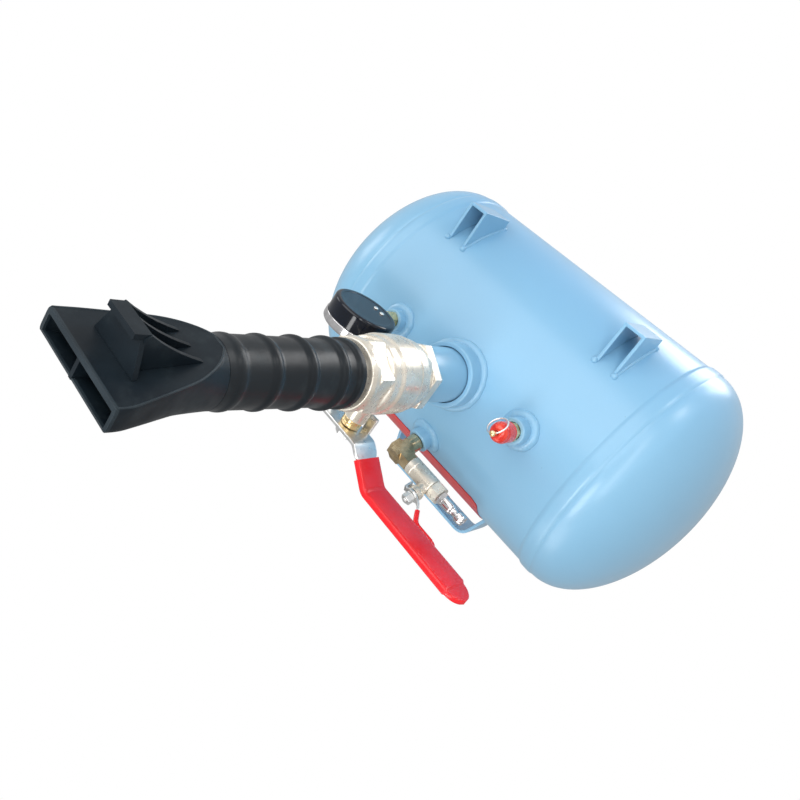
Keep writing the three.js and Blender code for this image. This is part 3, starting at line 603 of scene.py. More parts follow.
def keep(node, look, bevel=0.0):
    """Gives a CAD node that shows as it is its look, with its split corners joined and edges rounded."""
    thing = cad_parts[node]
    mesh = thing.data
    if "custom_normal" in mesh.attributes:
        mesh.attributes.remove(mesh.attributes["custom_normal"])
    for polygon in mesh.polygons:
        polygon.use_smooth = bool(bevel)
    if bevel:
        joined = thing.modifiers.new("joined", "WELD")
        joined.merge_threshold = 0.01 * MM
        soften(thing, bevel)
    mesh.materials.clear()
    mesh.materials.append(look.material)


# ---- tank ----

TANK_R = 125
WALL = 2.3
SEAM = 147.4  # from the shell's middle
DOME = 65.6  # height of a dome
RIM_LAP = 12  # how far the dome's rim reaches into the shell
SEAM_RISE = 0.35  # how far the dome's edge stands up to the band, where they are welded
BAND = [  # outline of the rolled band at each seam: distance from the tank's middle, radius
    (131.4, 125.0), (132.6, 125.15), (133.6, 125.6), (134.6, 126.1), (135.8, 126.42), (137.2, 126.5),
    (143.2, 126.5), (144.4, 126.4), (145.5, 126.15), (146.4, 125.8), (147.0, 125.5), (147.4, 125.35),
]

piece("tank_shell_skin", [(AXLE, turned([
    (TANK_R - WALL, -SEAM), *((r, -x, 0) for x, r in BAND[::-1]), *((r, x, 0) for x, r in BAND),
    (TANK_R - WALL, SEAM),
], sides=256))], ENAMEL, "tank_shell")


def dome(axis):
    """A domed end with its joggled rim."""
    rim = TANK_R - WALL - 0.3
    steps = 30
    outer, inner = [], []
    for i in range(steps):
        angle = math.pi / 2 * i / steps
        blend = SEAM_RISE * max(0.0, 1 - i / 4)
        outer.append((TANK_R * math.cos(angle) + blend, DOME * math.sin(angle), 0))
        inner.append(((rim - WALL) * math.cos(angle), (DOME - WALL) * math.sin(angle), 0))
    profile = [
        (rim, -RIM_LAP), (rim, -1, 0), (TANK_R, -1, 0), *outer,
        (0, DOME), (0, DOME - WALL), *inner[::-1], (rim - WALL, -RIM_LAP),
    ]
    place = spot((SHELL_X + axis.x * SEAM, 0, 0), axis, UP)
    return place, turned(profile, sides=256)


piece("end_cap_left_skin", [dome(-ALONG)], ENAMEL, "end_cap_left")
piece("end_cap_right_skin", [dome(ALONG)], ENAMEL, "end_cap_right")


def saddle(x, z, r, turn, steps=120):
    """A ring of points on the tank around a bung, and the ways out of the tank there."""
    points, outwards = [], []
    for i in range(steps):
        angle = math.tau * i / steps
        rise = z + r * math.sin(angle)
        out = Vector((0, -math.sqrt(TANK_R ** 2 - rise ** 2), rise)) / TANK_R
        out.rotate(Euler((turn, 0, 0)))
        points.append(Vector((x + r * math.cos(angle), 0, 0)) + out * TANK_R)
        outwards.append(out)
    return points, outwards


def bung(name, place, x, z, bore, outer, top, bead_r, bead_size, turn=0.0):
    """A threaded socket welded to the tank, with its bead."""
    path, outwards = saddle(x, z, bead_r, turn)
    piece(name + "_skin", [
        (place, turned([(bore, 120), (outer, 120), (outer, top, 1.3), (bore, top, 0.8)])),
        (TANK, bead(path, outwards, bead_size, closed=True, rise=0.72)),
    ], ENAMEL, name)


bung("outlet_socket", BLOWING, 0, 0, 25, 29.5, 142.5, 29.4, 4.4)
bung("relief_bung", RELIEF, RELIEF_X, RELIEF_Z, 7.8, 11.7, 140, 12.6, 5.3)
bung("gauge_bung", spot((GAUGE_X, 0, 0), BLOW, UP), GAUGE_X, 0, 7.8, 11, 138, 12.2, 5.4)
bung("fill_bung", FILL_NECK, FILL_X, 0, 7.8, 11.5, 136.5, 12.4, 5.3, turn=-FILL_ANGLE)

FOOT_WELD_STEPS = 26
for foot in ("foot_left", "foot_right"):
    low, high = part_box(foot)
    keep(foot, ENAMEL, bevel=0.9)
    for side, x in (("near", low.x), ("far", high.x)):
        path, outwards = [], []
        for i in range(FOOT_WELD_STEPS + 1):
            y = (low.y + (high.y - low.y) * i / FOOT_WELD_STEPS - ORIGIN.y) / MM
            out = Vector((0, y, -math.sqrt(TANK_R ** 2 - y ** 2))) / TANK_R
            path.append(Vector(((x - ORIGIN.x) / MM, 0, 0)) + out * TANK_R)
            outwards.append(out)
        lumps = [
            (TANK, globe(2.9, path[0] + outwards[0] * 0.3, 12)),
            (TANK, globe(2.5, path[-1] + outwards[-1] * 0.2, 12)),
        ]
        weld = (TANK, bead(path, outwards, 2.1, rise=0.7))
        piece(f"{foot}_weld_{side}", [weld, *lumps], ENAMEL, sharp=60)

HANDLE_LINE = eased([(-81, 112), (-65, 162.8), (50, 162.8), (67, 112)], 11, 8, closed=False)
handle_path = [(x, 0, z) for x, z in HANDLE_LINE]
handle_welds = []
for x in (-81.6, -76.2, 62.4, 67.8):
    line = [(x, y, math.sqrt(TANK_R ** 2 - y ** 2)) for y in range(-18, 19, 2)]
    ways = [Vector((0, y, z)) / TANK_R for _, y, z in line]
    handle_welds.append((TANK, bead(line, ways, 1.9, rise=0.8)))
piece("carry_handle_skin", [
    (TANK, rings(bent(handle_path, lambda _: slab(36, 3.4, 1.0)))), *handle_welds,
], ENAMEL, "carry_handle")


LABEL_GAP = 0.25


def label():
    """A thin plate wrapped round the tank, with rounded corners."""
    half, corner, thick = 80, 8, 0.6
    first, last = math.radians(45), math.radians(78)
    rows, columns = 26, 24
    reach = (TANK_R + 0.3) * (last - first) / 2
    sides = []
    for r in (TANK_R + LABEL_GAP, TANK_R + LABEL_GAP + thick):
        grid = []
        for i in range(rows + 1):
            along = -reach + 2 * reach * i / rows
            into = max(0.0, abs(along) - (reach - corner))
            width = half - corner + math.sqrt(max(corner ** 2 - into ** 2, 0.0))
            angle = (first + last) / 2 + along / (TANK_R + 0.3)
            y, z = -r * math.cos(angle), r * math.sin(angle)
            grid.append([(width * (2 * j / columns - 1), y, z) for j in range(columns + 1)])
        sides.append(grid)
    wide = columns + 1
    points = [p for grid in sides for row in grid for p in row]
    offset = wide * (rows + 1)
    faces = []
    for i in range(rows):
        for j in range(columns):
            a = i * wide + j
            faces.append((a, a + 1, a + wide + 1, a + wide))
            faces.append((a + offset, a + wide + offset, a + wide + 1 + offset, a + 1 + offset))
    rim = [
        *range(wide), *(i * wide + columns for i in range(1, rows + 1)),
        *(rows * wide + j for j in range(columns - 1, -1, -1)),
        *(i * wide for i in range(rows - 1, 0, -1)),
    ]
    for a, b in zip(rim, rim[1:] + rim[:1]):
        faces.append((a, b, b + offset, a + offset))
    return points, faces


piece("label_plate_skin", [(TANK, label())], LABEL, "label_plate")

# ---- main valve ----

piece("outlet_pipe_skin", [(BLOWING, turned([
    (21, 118), (24.3, 118), (24.3, 190.2, 0.8), (23, 190.6), (23, 203), (21, 203),
]))], ENAMEL, "outlet_pipe")

piece("valve_end_cap_skin", [
    (BLOWING, hexagon(52, 190.6, 200.4, bore=23.3, crown=1.14)),
    (BLOWING, turned([
        (23.3, 198), (26, 198), (26.2, 200.6), (27.5, 204.5, 1.5), (29.6, 209, 2.2), (30, 219.2, 0.6),
        (28.2, 219.4), (28.2, 222.3), (26.2, 222.3), (26.2, 209), (23.3, 207),
    ], 0.8)),
], PLATED, "valve_end_cap", voxel=0.45)

piece("valve_body_skin", [
    (BLOWING, turned([
        (28.6, 219.5), (31.5, 219.5, 0.8), (31.5, 222.4), (30.9, 223.2), (31.8, 224.2, 1.0),
        (31.8, 246.6, 1.6), (30.2, 248.4, 1.2), (29.9, 257.4, 2.0), (25.6, 259.6), (25.6, 272.4),
        (28.5, 272.8, 0.6), (28.5, 277.6, 1.2), (27, 281, 0.8), (21.2, 281, 0.8),
        (21.2, 266), (26, 262), (26.2, 223), (28.6, 223),
    ], 0.8)),
    (BLOWING, hexagon(53, 257.2, 272.9, bore=22, crown=1.14)),
    (STEM, turned([(7.5, 28.4), (11.2, 28.4), (10.4, 33, 2), (10, 36), (10, 46, 1.6), (7.5, 46, 0.6)])),
], PLATED, "valve_body", voxel=0.45)

piece("gland_nut_skin", [(STEM, turned([
    (5.35, 40), (6.5, 40), (6.5, 46.3), (8.5, 46.3, 0.7), (8.5, 49.4, 0.3), (8.1, 49.9, 0.3),
    (8.5, 50.4, 0.3), (8.5, 53.2, 0.9), (7.6, 53.6, 0.4), (5.35, 53.6),
], sides=64))], BRASS, "gland_nut")

TONGUE_HALF = 3.3  # half thickness of the stem's tongue
piece("valve_stem_skin", [
    (STEM, turned([
        (0, 26.4), (6.9, 26.4), (6.9, 29.2), (5, 29.2), (5, 53.6), (4, 54),
        (4, 65.2, 0.8), (3, 66, 0.4), (0, 66),
    ], sides=64)),
    (TANK, block((-5, 5), (STEM_Y - TONGUE_HALF, STEM_Y + TONGUE_HALF), (21.2, 26.6))),
], ZINC, "valve_stem", body="main_valve_lever")

LEVER_LINE = eased([(22, 55.5), (-20, 55.5, 3), (-51, 77.5, 3.5), (-156.6, 77.5)], 6, 8, closed=False)


def dense(line, step=2.5):
    """The same bent line with points about step apart."""
    points = []
    for (x, z), (next_x, next_z) in zip(line, line[1:]):
        cuts = max(1, round(math.hypot(next_x - x, next_z - z) / step))
        points += [(x + (next_x - x) * i / cuts, z + (next_z - z) * i / cuts) for i in range(cuts)]
    return [*points, line[-1]]


def lever_section(here):
    """The lever narrows where its sleeve begins, and rounds off at its tip."""
    width = 27.5 - 4.5 * max(0.0, min(1.0, (-27 - here.x) / 4))
    from_tip = here.x + 156.9
    if from_tip < 11:
        width = 2 * (2.5 + math.sqrt(max(9 ** 2 - (9 - min(from_tip, 9)) ** 2, 0.0)))
    return slab(width, 3, 0.8)


lever_path = [(x, STEM_Y, z) for x, z in dense(LEVER_LINE)]
piece("main_lever_skin", [(TANK, rings(bent(lever_path, lever_section)))], ZINC, "main_lever",
      body="main_valve_lever", sharp=50)
piece("main_lever_lugs", [
    (TANK, block((21, 24), (STEM_Y - 2, STEM_Y + 13.75), (43, 57))),
    (TANK, block((-12.4, -4), (STEM_Y + 12.9, STEM_Y + 15.75), (39.5, 57))),
], ZINC, body="main_valve_lever", bevel=0.7)


CLOSED_TIP = 3.4  # solid length at a sleeve's tip
ROOM_ROUND = 9  # rounding of the room inside at its tip


def sleeve(line, width, thick, room_width, room_thick, centre_y, tip_round, dent=0.0):
    """A dipped sleeve over a strip: open at its start, closed and rounded at its tip."""
    path = [Vector((x, centre_y, z)) for x, z in line]
    tip = path[-1].x
    outer, inner = [], []
    for i, here in enumerate(path):
        along = (path[min(i + 1, len(path) - 1)] - path[max(i - 1, 0)]).normalized()
        up = along.cross(Vector((0, 1, 0)))
        from_tip = max(here.x - tip, 0.0)
        inset = tip_round - math.sqrt(max(tip_round ** 2 - max(tip_round - from_tip, 0.0) ** 2, 0.0))
        half = max(width / 2 - inset, 0.4)
        section = slab(2 * half, thick, min(thick * 0.42, half * 0.9))
        ring = []
        for across, rise in section:
            reach = math.hypot(max(tip_round - from_tip, 0.0), across)
            thinner = 0.0
            if from_tip < tip_round:
                thinner = max(0.0, min(1.0, (reach - tip_round * 0.62) / 2.2))
            side_step = dent if across > 0 and from_tip < tip_round + 1 else 0.0
            sideways = Vector((0, across - side_step * across / half, 0))
            ring.append(here + sideways + up * rise * (1 - 0.34 * thinner))
        outer.append(ring)
        if from_tip > CLOSED_TIP:
            into = max(ROOM_ROUND + CLOSED_TIP - from_tip, 0.0)
            room_inset = max(0.0, ROOM_ROUND - math.sqrt(max(ROOM_ROUND ** 2 - into ** 2, 0.0)))
            room = slab(room_width - 2 * room_inset, room_thick, 0.8)
            inner.append([here + Vector((0, across, 0)) + up * rise for across, rise in room])
    return rings([*outer, *inner[::-1]], cyclic=True)


sleeve_line = dense(eased([(-30.4, 62.88), (-51, 77.5), (-160, 77.5)], 3.5, 8, closed=False), 1.2)
piece("main_lever_sleeve_skin", [
    (TANK, sleeve(sleeve_line, 27.8, 6.4, 23.6, 3.6, STEM_Y, 13, dent=1.4)),
], VINYL, "main_lever_sleeve", body="main_valve_lever", sharp=60)

piece("main_lever_nut_skin", [
    (STEM, hexagon(14, 57.3, 64, bore=4.3)),
    (STEM, turned([(4.3, 57.05), (6.9, 57.05), (6.9, 57.6), (4.3, 57.6)], 0.1)),
], ZINC, "main_lever_nut", body="main_valve_lever", sharp=24)

# ---- nozzle ----

NIPPLE_GROOVES = 28
groove_profile = [(20.2 + 0.5 * (i % 2), 268 + 1.1 * i, 0.2) for i in range(NIPPLE_GROOVES)]
piece("nozzle_nipple_skin", [(BLOWING, turned([
    (17, 266.6), (20.2, 266.6), *groove_profile, (20.2, 299.6), (17, 299.6),
], 0.2))], ZINC, "nozzle_nipple")

RIBS = [(308, 26.7), (340, 26.0), (372.5, 25.2), (402, 24.5)]  # middle and radius of each rib
rib_profile = []
for rib_middle, rib_r in RIBS:
    grip_r = 24.3 - 0.8 * (rib_middle - 294) / 119  # the grip between the ribs tapers to the front
    rib_profile += [
        (grip_r, rib_middle - 4.6, 2.2), (rib_r, rib_middle - 1.6, 2),
        (rib_r, rib_middle + 1.6, 2), (grip_r, rib_middle + 4.6, 2.2),
    ]
piece("nozzle_tube_skin", [(BLOWING, turned([
    (21, 285.6), (25.4, 285.6, 0.8), (26.3, 287, 0.8), (26.3, 292.2, 1.4), (24.3, 294.4, 1.2),
    *rib_profile, (23.5, 412.7, 0), (20, 412.7, 0), (20, 300, 0), (21, 300),
], sides=128, steps=5))], PLASTIC_SMOOTH, "nozzle_tube")

# Sections of the fan: distance, half width, half height, middle, squareness, floor and ceiling.
FAN = [
    (413.0, 23.5, 23.5, 0.0, 2.0, -23.5, 23.5),
    (446.0, 30.6, 26.0, -8.0, 2.7, -17.0, 14.6),
    (489.0, 41.5, 10.6, -2.6, 6.0, -10.4, 5.3),
    (497.0, 41.5, 10.6, -2.6, 6.0, -10.4, 5.3),
]
FAN_INSIDE = [
    (413.0, 20.0, 20.0, 0.0, 2.0, -20.0, 20.0),
    (446.0, 27.0, 23.0, -8.0, 2.6, -14.0, 11.6),
    (489.0, 38.4, 8.0, -1.5, 7.0, -6.7, 3.8),
    (497.0, 38.4, 8.0, -1.5, 7.0, -6.7, 3.8),
]


def fan_at(table, distance):
    """The fan's section at a distance, eased where its tapers meet."""
    def straight(at):
        at = max(table[0][0], min(table[-1][0], at))
        for low, high in zip(table, table[1:]):
            if at <= high[0]:
                share = (at - low[0]) / (high[0] - low[0])
                values = [a + (b - a) * share for a, b in zip(low[1:], high[1:])]
                values[3] = 1 / ((1 - share) / low[4] + share / high[4])
                return values
        return list(table[-1][1:])
    reach = min(4.0, distance - table[0][0], table[-1][0] - distance)
    samples = [straight(distance + reach * k / 2) for k in (-2, -1, 0, 1, 2)]
    return [sum(values) / 5 for values in zip(*samples)]


def fan_ring(table, distance, inset=0.0, count=176):
    """The fan's outline at a distance, as a rounded box cut flat at its floor and ceiling."""
    half, tall, centre, square, floor, ceiling = fan_at(table, distance)
    ring = []
    for i in range(count):
        angle = math.tau * (i + 0.5) / count
        c, s = math.cos(angle), math.sin(angle)
        x = math.copysign(abs(c) ** (2 / square), c) * (half - inset)
        z = math.copysign(abs(s) ** (2 / square), s) * (tall - inset) + centre
        z = max(floor + inset, min(ceiling - inset, z))
        ring.append((x, -distance, z))
    return ring


FAN_START = 413
MOUTH = 497
fan_stations = range(FAN_START, MOUTH + 1, 2)
fan_rings = [fan_ring(FAN, d) for d in fan_stations[:-1]]
fan_rings += [fan_ring(FAN_INSIDE, d) for d in fan_stations[-2::-1]]
lip_rings = [
    fan_ring(FAN, fan_stations[-2]), fan_ring(FAN, MOUTH - 0.8),
    fan_ring(FAN, MOUTH - 0.2, 0.3), fan_ring(FAN, MOUTH, 0.8),
    fan_ring(FAN_INSIDE, MOUTH, -0.5), fan_ring(FAN_INSIDE, MOUTH - 0.4, -0.1),
    fan_ring(FAN_INSIDE, fan_stations[-2]),
]
DIVIDER_LENGTH = 42
divider_path = []
for i in range(9):
    along = MOUTH - DIVIDER_LENGTH * i / 8
    divider_path.append((0, -along, (fan_at(FAN_INSIDE, along)[4] + fan_at(FAN_INSIDE, along)[5]) / 2))


def divider_section(here):
    """The divider reaches into the fan's floor and ceiling."""
    _, _, _, _, floor, ceiling = fan_at(FAN_INSIDE, -here.y)
    return slab(3, ceiling - floor + 3, 0.3)


divider = bent(divider_path, divider_section, side=ALONG)
piece("nozzle_head_skin", [
    (TANK, rings(fan_rings, cyclic=True)), (TANK, rings(divider)),
], PLASTIC, "nozzle_head", sharp=28)
# The lip is drawn in the paler plastic: a painted highlight on the mouth's rim.
piece("nozzle_head_lip", [(TANK, rings(lip_rings, cyclic=True))], PLASTIC_PAINTED_HIGHLIGHT, sharp=40)

# The flat under the head is edged by a rounded crease that runs from corner to corner of the mouth.
half_crease = []
for i in range(61):
    along = 414.5 + 81.5 * (i / 60) ** 1.7
    half, tall, centre, square, floor, _ = fan_at(FAN, along)
    cut = min(abs(floor - centre) / tall, 1.0)
    half_crease.append((half * (1 - cut ** square) ** (1 / square) - 0.35, -along, floor + 0.3))
crease = [(-x, y, z) for x, y, z in half_crease[::-1]] + half_crease
# The crease's wire is drawn in the paler plastic: a painted highlight along the crease.
piece("nozzle_head_crease", [(TANK, wire(crease, 0.7, sides=12))], PLASTIC_PAINTED_HIGHLIGHT)

keep("nozzle_hook", PLASTIC, bevel=0.55)

# ---- relief valve ----

piece("relief_body_skin", [(RELIEF, hexagon(15, 140.3, 147, bore=6)), (RELIEF, turned([
    (3, 121), (7.3, 121), (7.3, 140.6), (3, 140.6),
], sides=48))], BRASS, "relief_body", sharp=24)
piece("relief_cap_skin", [(RELIEF, turned([
    (6, 147.3), (8.5, 147.3, 0.4), (9, 148, 0.4), (9, 149.4, 0.3), (8.5, 149.8, 0.2), (9, 150.2, 0.3),
    (9, 160.3, 0.7), (8.3, 161.2, 0.5), (8.3, 163.2, 0.9), (6.6, 165.6, 0.8), (4.4, 166.9, 0.5),
    (2.1, 167, 0.3), (2.1, 163), (6, 163),
], sides=72))], CAP, "relief_cap")
piece("relief_pin_skin", [(RELIEF, turned([
    (0, 141), (1, 141), (1, 146), (1.7, 146.4), (1.7, 172, 0.3), (2.5, 172.4, 0.3),
    (2.5, 174.8, 0.8), (0, 175.6),
], sides=48))], BRASS, "relief_pin", body="relief_plunger")

SPRING_R = 4.3
SPRING_WIRE = 0.55
SPRING_ENDS = (146.2, 162.1)  # middle of the end coils, along the blowing direction
SPRING_COILS = 4
COIL_STEPS = 24  # points round each coil
coil = []
for i in range(SPRING_COILS * COIL_STEPS + 1):
    t = i / (SPRING_COILS * COIL_STEPS)
    angle = math.tau * SPRING_COILS * t
    along = SPRING_ENDS[0] + (SPRING_ENDS[1] - SPRING_ENDS[0]) * t
    coil.append((SPRING_R * math.cos(angle), SPRING_R * math.sin(angle), along))
spring = piece("relief_spring_skin", [
    (RELIEF, wire(coil, SPRING_WIRE, sides=10)),
], ZINC, "relief_spring", sharp=60)
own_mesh(spring)

RING_R = 9
RING_WIRE = 0.7
EYE = 170.4  # where the ring crosses the pin, along the blowing direction
RING_LEAN = math.radians(51)  # the ring's lean back towards the tank
ring_axis = Vector((1, 0, 1)).normalized()
ring_sideways = Vector((1, 0, -1)).normalized()
ring_away = ring_sideways * math.cos(RING_LEAN) - BLOW * math.sin(RING_LEAN)
ring_path = [
    Vector((RELIEF_X, -EYE, RELIEF_Z)) + ring_away * RING_R * (1 - math.cos(math.tau * i / 72))
    + ring_axis * RING_R * math.sin(math.tau * i / 72)
    for i in range(72)
]
piece("relief_ring_skin", [
    (TANK, wire(ring_path, RING_WIRE, closed=True)),
], ZINC, "relief_ring", body="relief_pull_ring")

# ---- gauge ----

piece("gauge_case_skin", [
    (GAUGE, turned([
        (0, -9.6), (20, -9.6, 2), (24.6, -9.7, 0.4), (25, -10, 0.3), (29, -10, 0.9), (30.5, -8.6, 0.9),
        (30.5, 6, 0.2), (28.5, 6), (28.5, -8), (0, -8),
    ], sides=128)),
    (GAUGE, turned([(0, -9), (2.2, -9), (2.2, -3), (0, -3)], sides=32)),
], GLOSS, "gauge_case")
piece("gauge_bezel_skin", [(GAUGE, turned([
    (26, 11.6), (29, 11.5), (29, 6.3), (31.3, 6.3, 0.5), (31.3, 13.2, 1.2), (29.8, 14.8, 1.0),
    (27.2, 14.8, 0.8),
], sides=128))], CHROME, "gauge_bezel")
piece("gauge_lens_skin", [(GAUGE, turned([
    (0, 9.4), (28.6, 9.4, 0.2), (28.6, 11.1, 0.4), (0, 11.2),
], sides=96))], GLASS, "gauge_lens")
piece("gauge_dial_skin", [(GAUGE, turned([
    (1.6, 3), (28, 3, 0.1), (28, 4, 0.2), (1.6, 4),
], sides=96))], DIAL, "gauge_dial")

DIAL_START = math.radians(45)  # needle's rest direction, from +x towards +y
SWEEP = math.radians(270)
INK_HEIGHTS = (4.02, 4.1)  # a mark's underside and top, just over the dial


def tick(angle, inner, outer, width):
    """A printed mark on the dial."""
    way = Vector((math.cos(angle), math.sin(angle), 0))
    across = Vector((-way.y, way.x, 0)) * width / 2
    low = [way * inner - across, way * outer - across, way * outer + across, way * inner + across]
    points = [tuple(p + UP * height) for height in INK_HEIGHTS for p in low]
    faces = [(0, 1, 2, 3), (4, 5, 6, 7), (0, 1, 5, 4), (1, 2, 6, 5), (2, 3, 7, 6), (3, 0, 4, 7)]
    return points, faces


DIAL_PLACE = spot((GAUGE_X, GAUGE_Y, 0), UP, ALONG)
MARKS = 60
marks = []
for i in range(MARKS + 1):
    long_mark = i % 10 == 0
    inner_r = 20.5 if long_mark else 22 if i % 5 == 0 else 23
    width = 0.7 if long_mark else 0.3
    marks.append((DIAL_PLACE, tick(DIAL_START - SWEEP * i / MARKS, inner_r, 24.6, width)))
piece("gauge_dial_marks", marks, INK, sharp=20)

NUMBERS_R = 16.6
NUMBERS_TURN = math.radians(-135)
STEPS = 6  # numbered steps on the dial
for i in range(STEPS + 1):
    angle = DIAL_START - SWEEP * i / STEPS
    words = bpy.data.curves.new(f"gauge_number_{i}", "FONT")
    words.body = str(2 * i)
    words.size = 4.6 * MM
    words.extrude = 0.04 * MM
    words.align_x = "CENTER"
    words.align_y = "CENTER"
    words.materials.append(INK.material)
    number = bpy.data.objects.new(f"gauge_number_{i}", words)
    bpy.context.scene.collection.objects.link(number)
    number.matrix_world = DIAL_PLACE @ Matrix.Translation(
        Vector((math.cos(angle) * NUMBERS_R, math.sin(angle) * NUMBERS_R, 4.08))
    ) @ Matrix.Rotation(NUMBERS_TURN, 4, "Z") @ Matrix.Scale(1 / MM, 4)
    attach(number, "tank")

piece("gauge_stem_skin", [
    (GAUGE_STEM, hexagon(13, 138.3, 152.4, crown=1.09)),
    (GAUGE_STEM, turned([(0, 150), (4.3, 150), (4.3, 158), (0, 158)], sides=48)),
    (spot((GAUGE_X, 0, 0), BLOW, UP), turned([(0, 122), (7.4, 122), (7.4, 140), (0, 140)], sides=48)),
], BRASS, "gauge_stem", sharp=24)

for name in ("gauge_back_screw_1", "gauge_back_screw_2"):
    low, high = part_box(name)
    centre = ((low + high) / 2 - ORIGIN) / MM
    place = spot((centre.x, centre.y, 0), -UP, ALONG)
    piece(name + "_skin", [(place, turned([
        (0, 9.7), (2.3, 9.7), (2.3, 10.4, 0.3), (1.5, 11, 0.4), (0, 10.95),
    ], sides=32))], ZINC, name)

# ---- fill line ----

piece("fill_elbow_skin", [
    (FILL_NECK, turned([
        (4, 121), (7.4, 121), (7.4, 137), (8.3, 137, 0.6), (8.3, 150, 0), (4, 150, 0),
    ], sides=64)),
    (FILL_NECK, hexagon(16.6, 146.5, 165.4, crown=1.12)),
    (FILL_LINE, hexagon(17, -4.2, 20.7, crown=1.12)),
], AGED, "fill_elbow", sharp=24)
piece("fill_valve_body_skin", [
    (FILL_LINE, turned([
        (4, 21), (9, 21, 0.6), (9, 27.4, 0.5), (8.4, 28, 0.4), (9, 28.6, 0.5), (9, 50.6, 0.7),
        (8.5, 51.6, 0.5), (7.7, 51.6), (6.4, 49), (4, 39),
    ], sides=72)),
    (FILL_STEM, turned([
        (2.3, 163), (5.6, 163), (5.4, 168, 1), (7.2, 171, 1), (7.2, 175.3, 0.7), (2.3, 175.3),
    ], sides=64)),
], PLATED, "fill_valve_body", voxel=0.26)
piece("fill_valve_insert_skin", [(FILL_LINE, hexagon(17, 52, 62, bore=5)), (FILL_LINE, turned([
    (3.5, 50.2), (7.3, 50.2), (7.3, 53), (3.5, 53),
], sides=48))], PLATED_SMOOTH, "fill_valve_insert", sharp=24)
piece("air_nipple_skin", [
    (FILL_LINE, turned([
        (2.3, 57), (4.7, 57), (4.7, 62.4), (5.6, 62.4), (5.6, 77, 1.2), (4, 79.2, 1.0), (4, 83, 0.8),
        (5.6, 84.6, 0.8), (5.6, 89.2, 1.0), (4.6, 92, 0.5), (2.3, 92, 0.4),
    ], sides=64)),
    (FILL_LINE, hexagon(11.8, 62.4, 67, bore=4)),
], CHROME, "air_nipple", sharp=24)

fill_lever_line = dense(
    eased([(-36, 177), (-55, 177), (-70, 194), (-92.8, 194)], 5, 6, closed=False), 1.5,
)
piece("fill_lever_skin", [
    (FILL_GROUP, rings(bent([(x, 0, z) for x, z in fill_lever_line], lambda _: slab(8, 2, 0.6)))),
    (FILL_STEM, turned([(2.3, 176), (7.6, 176, 0.4), (7.6, 178, 0.4), (2.3, 178)], sides=64)),
    (FILL_GROUP, block((-38, -36), (-4, 4), (170, 178))),
], ZINC, "fill_lever", body="fill_valve_lever", sharp=30)
fill_sleeve_line = dense(eased([(-61.6, 184.5), (-70, 194), (-95, 194)], 5, 6, closed=False), 0.7)
piece("fill_lever_sleeve_skin", [
    (FILL_GROUP, sleeve(fill_sleeve_line, 10.2, 4.4, 8.5, 2.5, 0, 4.4)),
], VINYL, "fill_lever_sleeve", body="fill_valve_lever", sharp=60)
piece("fill_lever_nut_skin", [(FILL_STEM, hexagon(9.5, 178.3, 185.4, bore=2.3)), (FILL_STEM, turned([
    (0, 180), (2.2, 180), (2.2, 186.4, 0.5), (0, 187),
], sides=32))], ZINC, "fill_lever_nut", body="fill_valve_lever", sharp=24)

# ---- CAD nodes that show as they are ----

for name, look in {
    "seat_ring_rear": SEAT, "seat_ring_front": SEAT, "stem_packing": SEAT, "valve_ball": CHROME,
    "relief_poppet": BRASS, "bourdon_tube": BRASS, "gauge_sector": BRASS, "gauge_needle": INK,
    "fill_seat_in": SEAT, "fill_seat_out": SEAT, "fill_ball": CHROME, "fill_stem": ZINC,
}.items():
    keep(name, look)

# ---- stage, light and camera ----


def floor_look():
    """A pale floor, seen from above only: a camera below it looks through it."""
    material = bpy.data.materials.new("pale_floor")
    material.use_nodes = True
    tree = material.node_tree
    shader = tree.nodes["Principled BSDF"]
    shader.inputs["Roughness"].default_value = 0.7
    place = tree.nodes.new("ShaderNodeTexCoord").outputs["Object"]
    noise = tree.nodes.new("ShaderNodeTexNoise")
    noise.inputs["Scale"].default_value = 3
    tree.links.new(place, noise.inputs["Vector"])
    tint = tree.nodes.new("ShaderNodeMix")
    tint.data_type = "RGBA"
    tree.links.new(noise.outputs["Fac"], tint.inputs[0])
    tint.inputs[6].default_value = (0.74, 0.74, 0.74, 1)
    tint.inputs[7].default_value = (0.78, 0.78, 0.78, 1)
    tree.links.new(tint.outputs[2], shader.inputs["Base Color"])
    clear = tree.nodes.new("ShaderNodeBsdfTransparent")
    side = tree.nodes.new("ShaderNodeNewGeometry").outputs["Backfacing"]
    either = tree.nodes.new("ShaderNodeMixShader")
    tree.links.new(side, either.inputs[0])
    tree.links.new(shader.outputs[0], either.inputs[1])
    tree.links.new(clear.outputs[0], either.inputs[2])
    tree.links.new(either.outputs[0], tree.nodes["Material Output"].inputs[0])
    return material


floor_mesh = bpy.data.meshes.new("floor")
floor_bm = bmesh.new()
bmesh.ops.create_grid(floor_bm, x_segments=1, y_segments=1, size=6)
floor_bm.to_mesh(floor_mesh)
floor_bm.free()
floor = bpy.data.objects.new("floor", floor_mesh)
floor.location.z = cad_box[0].z - 0.4 * MM
floor_mesh.materials.append(floor_look())
floor.visible_shadow = False
floor.visible_glossy = False
bpy.context.scene.collection.objects.link(floor)

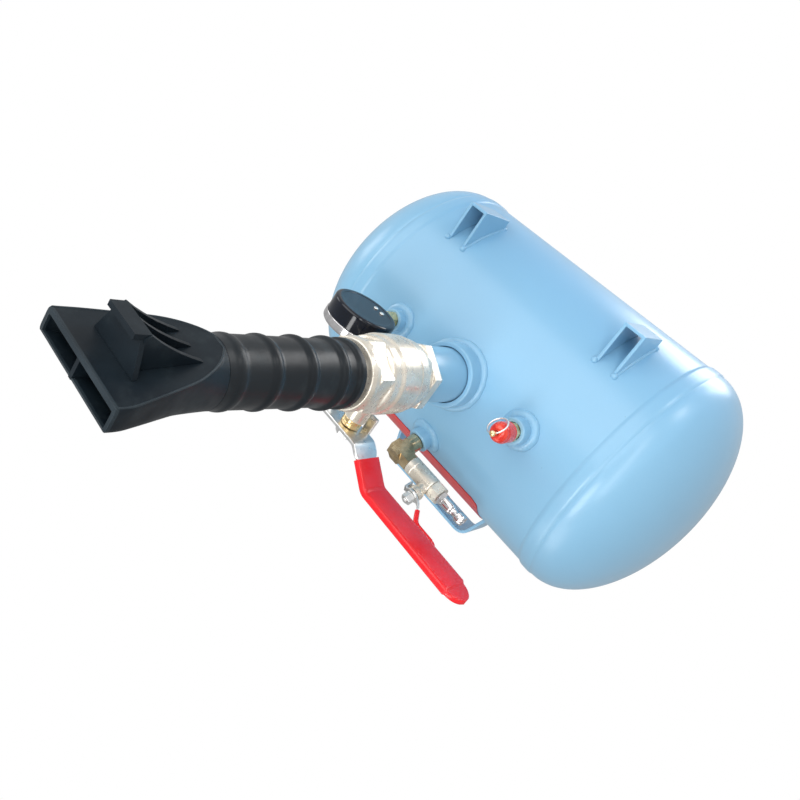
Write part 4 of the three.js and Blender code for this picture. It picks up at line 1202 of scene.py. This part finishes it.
world = bpy.data.worlds.new("soft_white")
world.use_nodes = True
sky = world.node_tree
sky.nodes["Background"].inputs[0].default_value = (1, 1, 1, 1)
way_out = sky.nodes.new("ShaderNodeSeparateXYZ")
sky.links.new(sky.nodes.new("ShaderNodeTexCoord").outputs["Generated"], way_out.inputs[0])
height = sky.nodes.new("ShaderNodeMapRange")  # as a light the room dims towards the ceiling
height.inputs["From Min"].default_value = -0.6
height.inputs["From Max"].default_value = 0.9
height.inputs["To Min"].default_value = 0.72
height.inputs["To Max"].default_value = 0.36
sky.links.new(way_out.outputs["Z"], height.inputs["Value"])
seen = sky.nodes.new("ShaderNodeMix")  # and it is plain white to look at
sky.links.new(sky.nodes.new("ShaderNodeLightPath").outputs["Is Camera Ray"], seen.inputs[0])
sky.links.new(height.outputs[0], seen.inputs[2])
seen.inputs[3].default_value = 1.0
sky.links.new(seen.outputs[0], sky.nodes["Background"].inputs[1])
bpy.context.scene.world = world
bpy.context.scene.view_settings.view_transform = "Standard"

TARGET = Vector((0, 0.02, 0.12))  # where the lamps point, in metres


def softbox(name, direction, distance, size, power, tall=None):
    """An area lamp that shines at the object from a direction; it is square if it has no height."""
    lamp = bpy.data.lights.new(name, "AREA")
    lamp.shape = "RECTANGLE"
    lamp.size = size
    lamp.size_y = tall or size
    lamp.energy = power
    holder = bpy.data.objects.new(name, lamp)
    way = Vector(direction).normalized()
    holder.location = TARGET + way * distance
    holder.rotation_euler = way.to_track_quat("Z", "Y").to_euler()
    holder.visible_camera = False
    bpy.context.scene.collection.objects.link(holder)


softbox("key_front_low", (0.30, -0.76, -0.60), 2.0, 2.1, 31)
softbox("back_low", (0.0, 0.79, -0.61), 1.9, 0.9, 14)
softbox("left_front", (-0.52, -0.77, -0.36), 1.9, 0.30, 12, tall=2.4)
softbox("left_low", (-0.34, 0.05, -0.94), 1.9, 0.4, 4)
softbox("strip_front", (-0.235, -0.92, 0.34), 2.0, 0.4, 14, tall=1.3)
softbox("top_front", (-0.2, -0.5, 1.0), 2.2, 1.2, 9)
softbox("rim_right", (1.0, -0.25, -0.1), 2.0, 0.8, 6)

CAMERA_PLACE = (-0.262, -0.519, -0.094)  # low in front of the tank's left end, looking up at it
CAMERA_TURN = (-113.24, 31.06, 134.51)  # degrees about x, y and z
camera_data = bpy.data.cameras.new("camera")
camera_data.lens = 33.38
camera_data.sensor_width = 36
camera_data.shift_x = 0.047
camera_data.shift_y = -0.0975
camera = bpy.data.objects.new("camera", camera_data)
camera.location = CAMERA_PLACE
camera.rotation_euler = [math.radians(turn) for turn in CAMERA_TURN]
bpy.context.scene.collection.objects.link(camera)
bpy.context.scene.camera = camera
